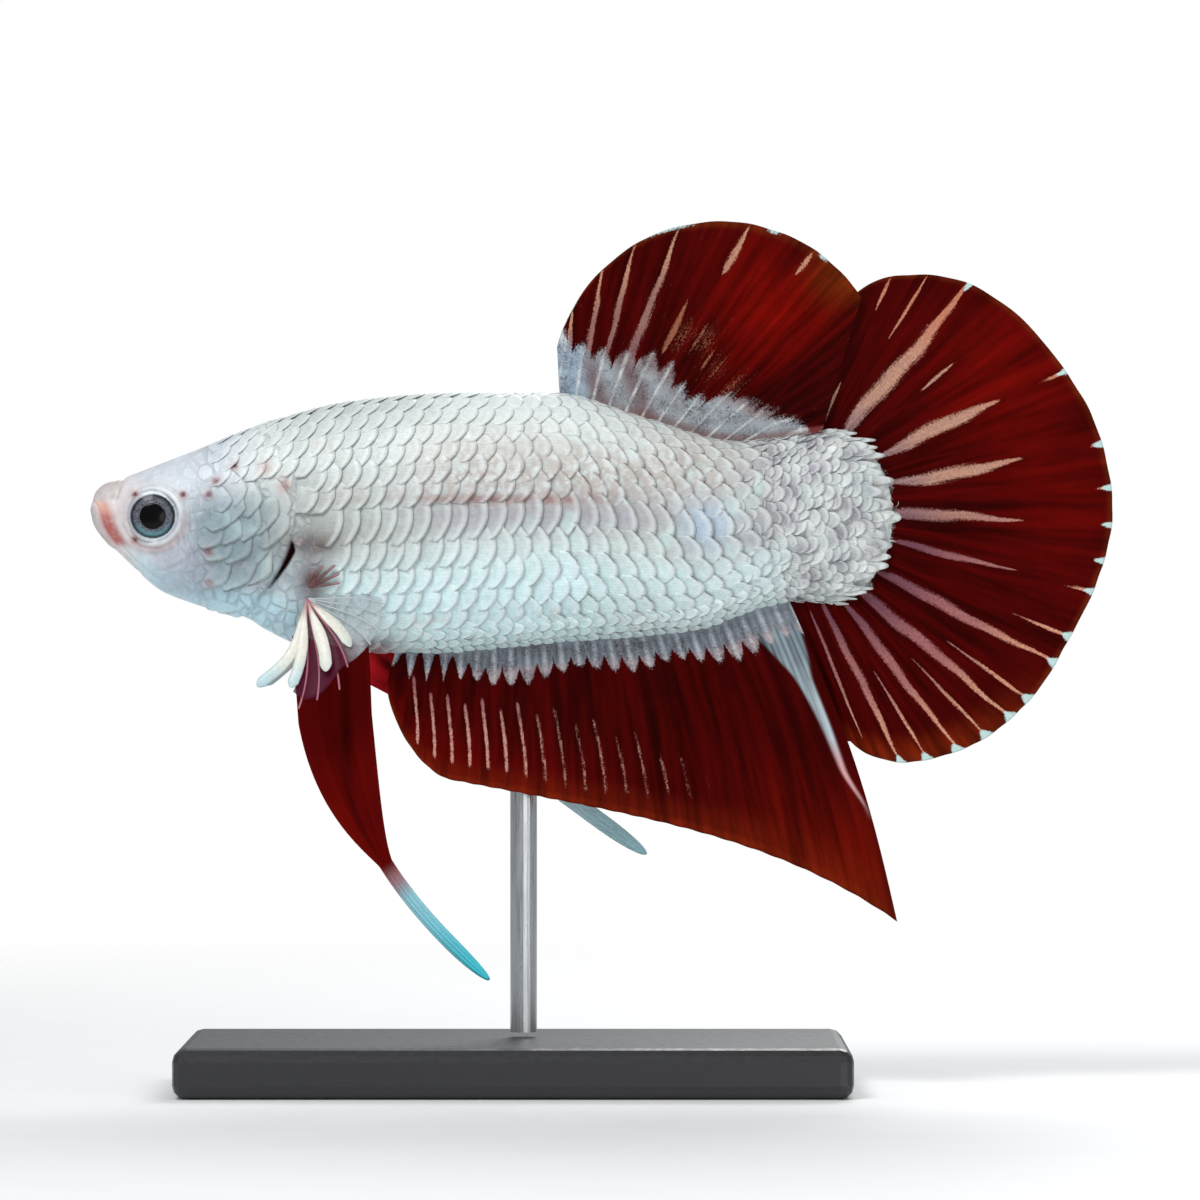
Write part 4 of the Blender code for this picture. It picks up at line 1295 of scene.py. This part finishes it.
def pelvic_tint(side):
    def tint(u, v, centre):
        # The far fin sits in shade, so painted light lifts its colours: a paler tip, less teal,
        # and a red root brighter than its own red.
        near = side == "left"
        start = 0.60 if near else 0.35
        pale = (0.56, 0.78, 0.83) if near else (0.92, 0.98, 1.0)
        teal = ease(start + 0.12, 0.98, v) * (1.0 if near else 0.45)
        root = ease(0.45, 0.25, v) * (0.0 if near else 1.0)
        return layered(
            (0.34, 0.02, 0.015),
            ((0.92, 0.16, 0.20), root),
            ((0.20, 0.01, 0.01), 0.8 * bump(u + 0.9 * v, 0.78, 0.10) * ease(0.05, 0.2, v)),
            ((0.42, 0.04, 0.015), 0.7 * ease(0.30, 0.45, v) * ease(0.5, 0.1, u)),
            ((0.60, 0.45, 0.47), ease(start, start + 0.06, v)),
            (pale, ease(start + 0.05, start + 0.13, v)),
            ((0.30, 0.80, 0.86), teal))
    return tint


def pelvic_ridges(u, v):
    return ray_ridges(4 * u, v, (), 0.22)


def build_pelvic_fins():
    look = fin_material("pelvic_red", darkest=0.85)

    def thickness(u, v):
        edge = np.sqrt(np.clip(4 * u * (1 - u), 0.05, 1))
        return (0.16 + 0.12 * pelvic_ridges(u, v) + 0.22 * ease(0.5, 0.65, v)) * edge

    for side, way in (("left", -1), ("right", 1)):
        masks = {"ridge": pelvic_ridges, "silver": nothing, "streak": nothing, "cyan": nothing}
        tints = {"tint": pelvic_tint(side), "mark": dorsal_mark, "metal": caudal_metal}
        build_fin(f"pelvic_{side}_rays", f"pelvic_fin_{side}", pelvic_place(side, way),
                  40, 220, thickness, masks, tints, look)


# The pectoral fins. Rays: direction in degrees, length, half width, and 1 where it is thick.
PECTORAL_ROOT = (13.15, -5.6)
PECTORAL_RAYS = [(-107, 6.0, 0.34, 1), (-100, 5.4, 0.34, 1), (-75, 4.5, 0.38, 1),
                 (-48, 3.9, 0.40, 1), (-94, 6.6, 0.06, 0), (-84, 6.1, 0.06, 0),
                 (-70, 5.8, 0.06, 0), (-59, 4.8, 0.06, 0), (-36, 4.7, 0.045, 0),
                 (-25, 4.9, 0.045, 0), (-14, 4.8, 0.04, 0), (-4, 4.6, 0.04, 0),
                 (8, 1.9, 0.08, 0), (24, 2.0, 0.09, 0), (40, 2.1, 0.08, 0), (57, 1.6, 0.09, 0),
                 (76, 1.1, 0.08, 0)]
PECTORAL_SPAN = (-98.0, 0.0)
FILM_REACH = [(-98, 5.6), (-90, 6.0), (-60, 4.6), (-20, 4.6), (0, 4.4)]
# The rays above this direction are the tuft of small red ones.
TUFT_START = 5


def pectoral_point(degrees, v, length, way):
    """A place on a fin that is spread out from its root, away from the flank."""
    bow = 5.0 * np.sin(math.pi * v) * np.less(degrees, TUFT_START)
    hook = 12.0 * ease(0.35, 1.0, v) * np.less(degrees, -104)
    s, height = polar(PECTORAL_ROOT, v * length, degrees + bow - hook)
    raised = np.greater(degrees, TUFT_START)
    s, height = s + 0.10 * raised, height + 0.65 * raised
    flank = np.abs(round_point(s, angle_at(s, np.maximum(height, -7.6)))[..., 1])
    out = np.maximum(flank, 3.1) + 0.22 + mix(0.05, 1.8, ease(-25.0, -70.0, degrees)) * v
    return fish_point(s, way * out, height)


def pectoral_tint(degrees, thick, v):
    if thick:
        cool = mix(0.25, 1.0, float(ease(-90, -106, degrees)))
        return layered((0.66, 0.50, 0.46), ((0.93, 0.92, 0.87), ease(0.05, 0.30, v)),
                       ((0.74, 0.86, 0.88), ease(0.55, 0.95, v) * cool))
    if degrees > TUFT_START:
        return layered((0.38, 0.20, 0.21), ((0.60, 0.47, 0.47), ease(0.5, 1.0, v)))
    return linear(0.74, 0.77, 0.78) if degrees > -40 else linear(0.66, 0.36, 0.44)


def pectoral_ray(degrees, length, width, thick, way, turn, v):
    """The ring points of one tapered ray."""
    centre = pectoral_point(degrees, v, length, way)
    ahead = pectoral_point(degrees + 2.0, v + 0.02, length, way) - centre
    along_ray = np.gradient(centre, axis=0)
    along_ray /= np.linalg.norm(along_ray, axis=-1, keepdims=True)
    ahead -= along_ray * (ahead * along_ray).sum(-1, keepdims=True)
    ahead /= np.linalg.norm(ahead, axis=-1, keepdims=True) + 1e-9
    out = np.cross(ahead, along_ray)
    size = width * np.ones_like(v)
    if thick:
        size = width * (0.16 + 0.84 * ease(0.02, 0.55, v))
    size = size * np.sqrt(np.clip((1 - v) * length / (1.1 * width), 0.01, 1))
    flat = 0.38 if thick else 0.8
    around = np.cos(turn)[None, :, None] * ahead[:, None]
    around = around + flat * np.sin(turn)[None, :, None] * out[:, None]
    return centre[:, None] + size[:, None, None] * around


def pectoral_materials():
    rays = Shading("pectoral_rays", Roughness=0.42, Coat_Weight=0.1, Coat_Roughness=0.3)
    grain = rays.noise(0.22)
    darker = rays.mixed(0.5, rays.tint(), (0.62, 0.56, 0.54))
    ribs = rays.steps(grain, 0.35, 0.65, 0.0, 0.30)
    rays.drive("Base Color", rays.mixed(ribs, rays.tint(), darker))
    rays.bumped(grain, 0.03)
    film = Shading("pectoral_film", Roughness=0.4, Specular_IOR_Level=0.15)
    cloud = film.noise(0.5)
    plum = film.value("plum")
    pale = film.steps(cloud, 0.3, 0.7, 0.0, 0.3) * (1.0 + -1.0 * plum)
    film.drive("Base Color", film.mixed(pale, film.tint(), (0.80, 0.78, 0.80)))
    film.drive("Alpha", 0.45 * plum + film.steps(cloud, 0.20, 0.80, 0.12, 0.36))
    return rays.material, film.material


def build_pectoral_fins():
    look, film_look = pectoral_materials()
    around, along = 12, 34
    turn = np.linspace(0, TAU, around, endpoint=False)
    v = np.sin(np.linspace(0.0, 0.5, along) * math.pi)
    for side, way in (("left", -1), ("right", 1)):
        points, colours, faces = [], [], []
        for number, (degrees, length, width, thick) in enumerate(PECTORAL_RAYS):
            points.append(pectoral_ray(degrees, length, width, thick, way, turn, v))
            faces.append(grid_faces(along, around, wrap=True, start=number * around * along))
            tint = np.broadcast_to(pectoral_tint(degrees, thick, v), (along, 3))
            colours.append(np.repeat(tint[:, None], around, 1))
        piece = add_piece(f"pectoral_{side}_rays", np.stack(points), [np.concatenate(faces)],
                          look, colours={"tint": np.stack(colours)})
        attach(piece, "root")
        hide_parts(f"pectoral_fin_{side}")
        out, share = np.meshgrid(np.linspace(0, 1, 30), np.linspace(0, 1, 80), indexing="ij")
        degrees = mix(*PECTORAL_SPAN, share)
        reach = smooth_curve(FILM_REACH, degrees)
        middle = pectoral_point(degrees, out, reach, way) - np.array((0.0, way * 0.16, 0.0))
        half = 0.02 * grid_normals(middle)
        wine = ease(-40, -62, degrees)
        shade = layered((0.80, 0.84, 0.86), ((0.34, 0.07, 0.18), wine))
        piece = add_piece(f"pectoral_{side}_film", np.stack((middle + half, middle - half)),
                          [sheet_faces(*middle.shape[:2])], film_look,
                          {"plum": np.stack((wine, wine))}, {"tint": np.stack((shade, shade))})
        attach(piece, "root")


# ------------------------------------------------------------------ eyes
# The share of the ball's rings that make up its visible dome; the rest folds back behind it.
EYE_RIM = 0.8


def eye_material():
    look = Shading("eye_wet", Roughness=0.2, Specular_IOR_Level=0.1, Coat_Weight=0.12,
                   Coat_Roughness=0.05)
    ring = look.value("ring") + (0.05 * look.noise(0.15) + -0.025)
    grain = look.noise(0.10, 4.0, spread=0.7)
    iris = look.mixed(look.steps(grain, 0.35, 0.65), (0.20, 0.21, 0.24), (0.45, 0.46, 0.50))
    iris = look.mixed(look.value("low"), iris, (0.42, 0.66, 0.70))
    iris = look.mixed(0.85 * look.steps(ring, 0.70, 0.83), iris, (0.10, 0.12, 0.15))
    inner = look.mixed(look.steps(ring, 0.50, 0.53), (0.005, 0.005, 0.008), iris)
    silver = look.mixed(look.steps(grain, 0.3, 0.7), (0.80, 0.84, 0.87), (0.95, 0.97, 0.98))
    silver = look.mixed(look.value("ahead"), silver, (0.62, 0.60, 0.63))
    look.drive("Base Color", look.mixed(look.steps(ring, 0.85, 0.92), inner, silver))
    return look.material


def build_eyes():
    look = eye_material()
    rings, around = 64, 96
    bend, turn = np.meshgrid(np.linspace(0, 1, rings),
                             np.linspace(0, TAU, around, endpoint=False), indexing="ij")
    tuck = np.clip((bend - EYE_RIM) / (1 - EYE_RIM), 0.0, 1.0)
    radius = (EYE_RADIUS + 0.02) * np.sin(np.minimum(bend / EYE_RIM, 1.0) * math.pi / 2)
    radius = radius * (1 - 0.35 * tuck) + 1e-3
    rate = radius / EYE_RADIUS
    dome = 0.96 - 0.40 * rate ** 2 + 0.05 * ease(0.56, 0.48, rate) - 0.75 * tuck
    s = EYE_PLACE[0] + radius * np.cos(turn) * 1.01
    height = EYE_PLACE[1] + radius * np.sin(turn)
    masks = {"ring": (np.where(bend > EYE_RIM, 1.0, rate), 1.0),
             "low": (0.8 * ease(-0.1, -1.0, np.sin(turn)) * ease(0.5, 0.85, rate), 0.0),
             "ahead": (0.8 * ease(0.1, -0.9, np.cos(turn)), 0.0)}
    values = {key: np.append(mask.ravel(), (0.0, last)) for key, (mask, last) in masks.items()}
    faces = [grid_faces(rings, around, wrap=True), *end_fans(rings, around)]
    for side, way in (("left", -1), ("right", 1)):
        points = fish_point(s, way * (EYE_SIDE + dome), height).reshape(-1, 3)
        ends = [(EYE_PLACE[0], way * (EYE_SIDE + out), EYE_PLACE[1]) for out in (1.01, -0.6)]
        piece = add_piece(f"eye_{side}_ball", np.concatenate((points, ends)), faces, look, values)
        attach(piece, "root")
        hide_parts(f"eye_{side}")


# ------------------------------------------------------------------ stand, floor, light
def finish_stand():
    black = Shading("stand_satin_black", Coat_Weight=0.2, Coat_Roughness=0.3)
    steel = Shading("stand_brushed_steel", Metallic=1.0)
    looks = (("stand_base", black, black.noise(0.4, 4.0), (0.10, 0.10, 0.11), (0.14, 0.14, 0.15),
              0.36, 0.50),
             ("stand_rod", steel, steel.noise(0.12, stretch=(1.0, 1.0, 0.04)),
              (0.62, 0.63, 0.64), (0.80, 0.81, 0.82), 0.22, 0.40))
    for node, look, grain, dark, light, smooth, rough in looks:
        look.drive("Base Color", look.mixed(grain, dark, light))
        look.drive("Roughness", look.steps(grain, 0.3, 0.7, smooth, rough))
        look.bumped(grain, 0.01)
        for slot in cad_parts[node].material_slots:
            slot.material = look.material


def build_floor():
    radius, turn = np.meshgrid(np.linspace(0.5, 420.0, 24),
                               np.linspace(0, TAU, 96, endpoint=False), indexing="ij")
    points = fish_point(-SNOUT_X + radius * np.cos(turn), radius * np.sin(turn), -MOUTH_Z)
    look = Shading("floor_pale", Roughness=0.6)
    look.drive("Base Color", look.mixed(look.noise(6.0), (0.955,) * 3, (0.975,) * 3))
    look.drive("Alpha", look.steps(look.value("away"), 70.0, 230.0, 1.0, 0.0))
    floor = add_piece("floor", points, [grid_faces(*radius.shape, wrap=True)], look.material,
                      {"away": radius})


def add_area(name, place, target, size, power):
    light = bpy.data.lights.new(name, "AREA")
    light.shape = "DISK"
    light.size = size * MM
    light.energy = power
    lamp = bpy.data.objects.new(name, light)
    lamp.location = Vector(place) * MM
    aim = Vector(target) - Vector(place)
    lamp.rotation_euler = aim.to_track_quat("-Z", "Y").to_euler()
    bpy.context.scene.collection.objects.link(lamp)


def build_studio():
    """White for the camera to see, a dim cool light from all round, and three lamps."""
    world = bpy.data.worlds.new("studio")
    bpy.context.scene.world = world
    world.use_nodes = True
    tree = world.node_tree
    tree.nodes.clear()
    output = tree.nodes.new("ShaderNodeOutputWorld")
    mixer = tree.nodes.new("ShaderNodeMixShader")
    path = tree.nodes.new("ShaderNodeLightPath")
    tree.links.new(path.outputs["Is Camera Ray"], mixer.inputs[0])
    tree.links.new(mixer.outputs[0], output.inputs[0])
    for socket, colour, strength in ((1, (0.93, 0.97, 1.0, 1), 0.40), (2, (1, 1, 1, 1), 1.0)):
        background = tree.nodes.new("ShaderNodeBackground")
        background.inputs["Color"].default_value = colour
        background.inputs["Strength"].default_value = strength
        tree.links.new(background.outputs[0], mixer.inputs[socket])
    middle = (0.0, 0.0, 32.0)
    add_area("key_light", (-90.0, -170.0, 230.0), middle, 110.0, 0.42)
    add_area("fill_light", (110.0, -230.0, 20.0), middle, 160.0, 0.14)
    add_area("back_light", (60.0, 190.0, 160.0), middle, 140.0, 0.3)


LENS = 250.0
SENSOR_WIDTH = 36.0
VIEW_WIDTH = 72.0
VIEW_CENTRE = (30.6, -5.7)


def build_camera():
    data = bpy.data.cameras.new("camera")
    data.lens = LENS
    data.sensor_width = SENSOR_WIDTH
    data.clip_start = 0.01
    camera = bpy.data.objects.new("camera", data)
    place = (SNOUT_X + VIEW_CENTRE[0], -VIEW_WIDTH * LENS / SENSOR_WIDTH, MOUTH_Z + VIEW_CENTRE[1])
    camera.location = Vector(place) * MM
    camera.rotation_euler = (math.pi / 2, 0.0, 0.0)
    bpy.context.scene.collection.objects.link(camera)
    bpy.context.scene.camera = camera
    bpy.context.scene.view_settings.view_transform = "Standard"


build_camera()
build_studio()
build_floor()
finish_stand()
build_skin(skin_material())
flank_look = scale_material("scale_pearl")
stem_look = scale_material("scale_rough_pearl", 0.035, 0.09)
cheek_look = scale_material("scale_cheek", pale=0.1, rim_colour=(0.42, 0.37, 0.37))
for side_name, side_way in (("left", -1.0), ("right", 1.0)):
    build_flank_scales(side_name, side_way, flank_look)
    build_stem_scales(side_name, side_way, stem_look)
    build_belly_scales(side_name, side_way, flank_look)
    build_cheek_scales(side_name, side_way, cheek_look)
build_median_fins()
build_pelvic_fins()
build_pectoral_fins()
build_eyes()
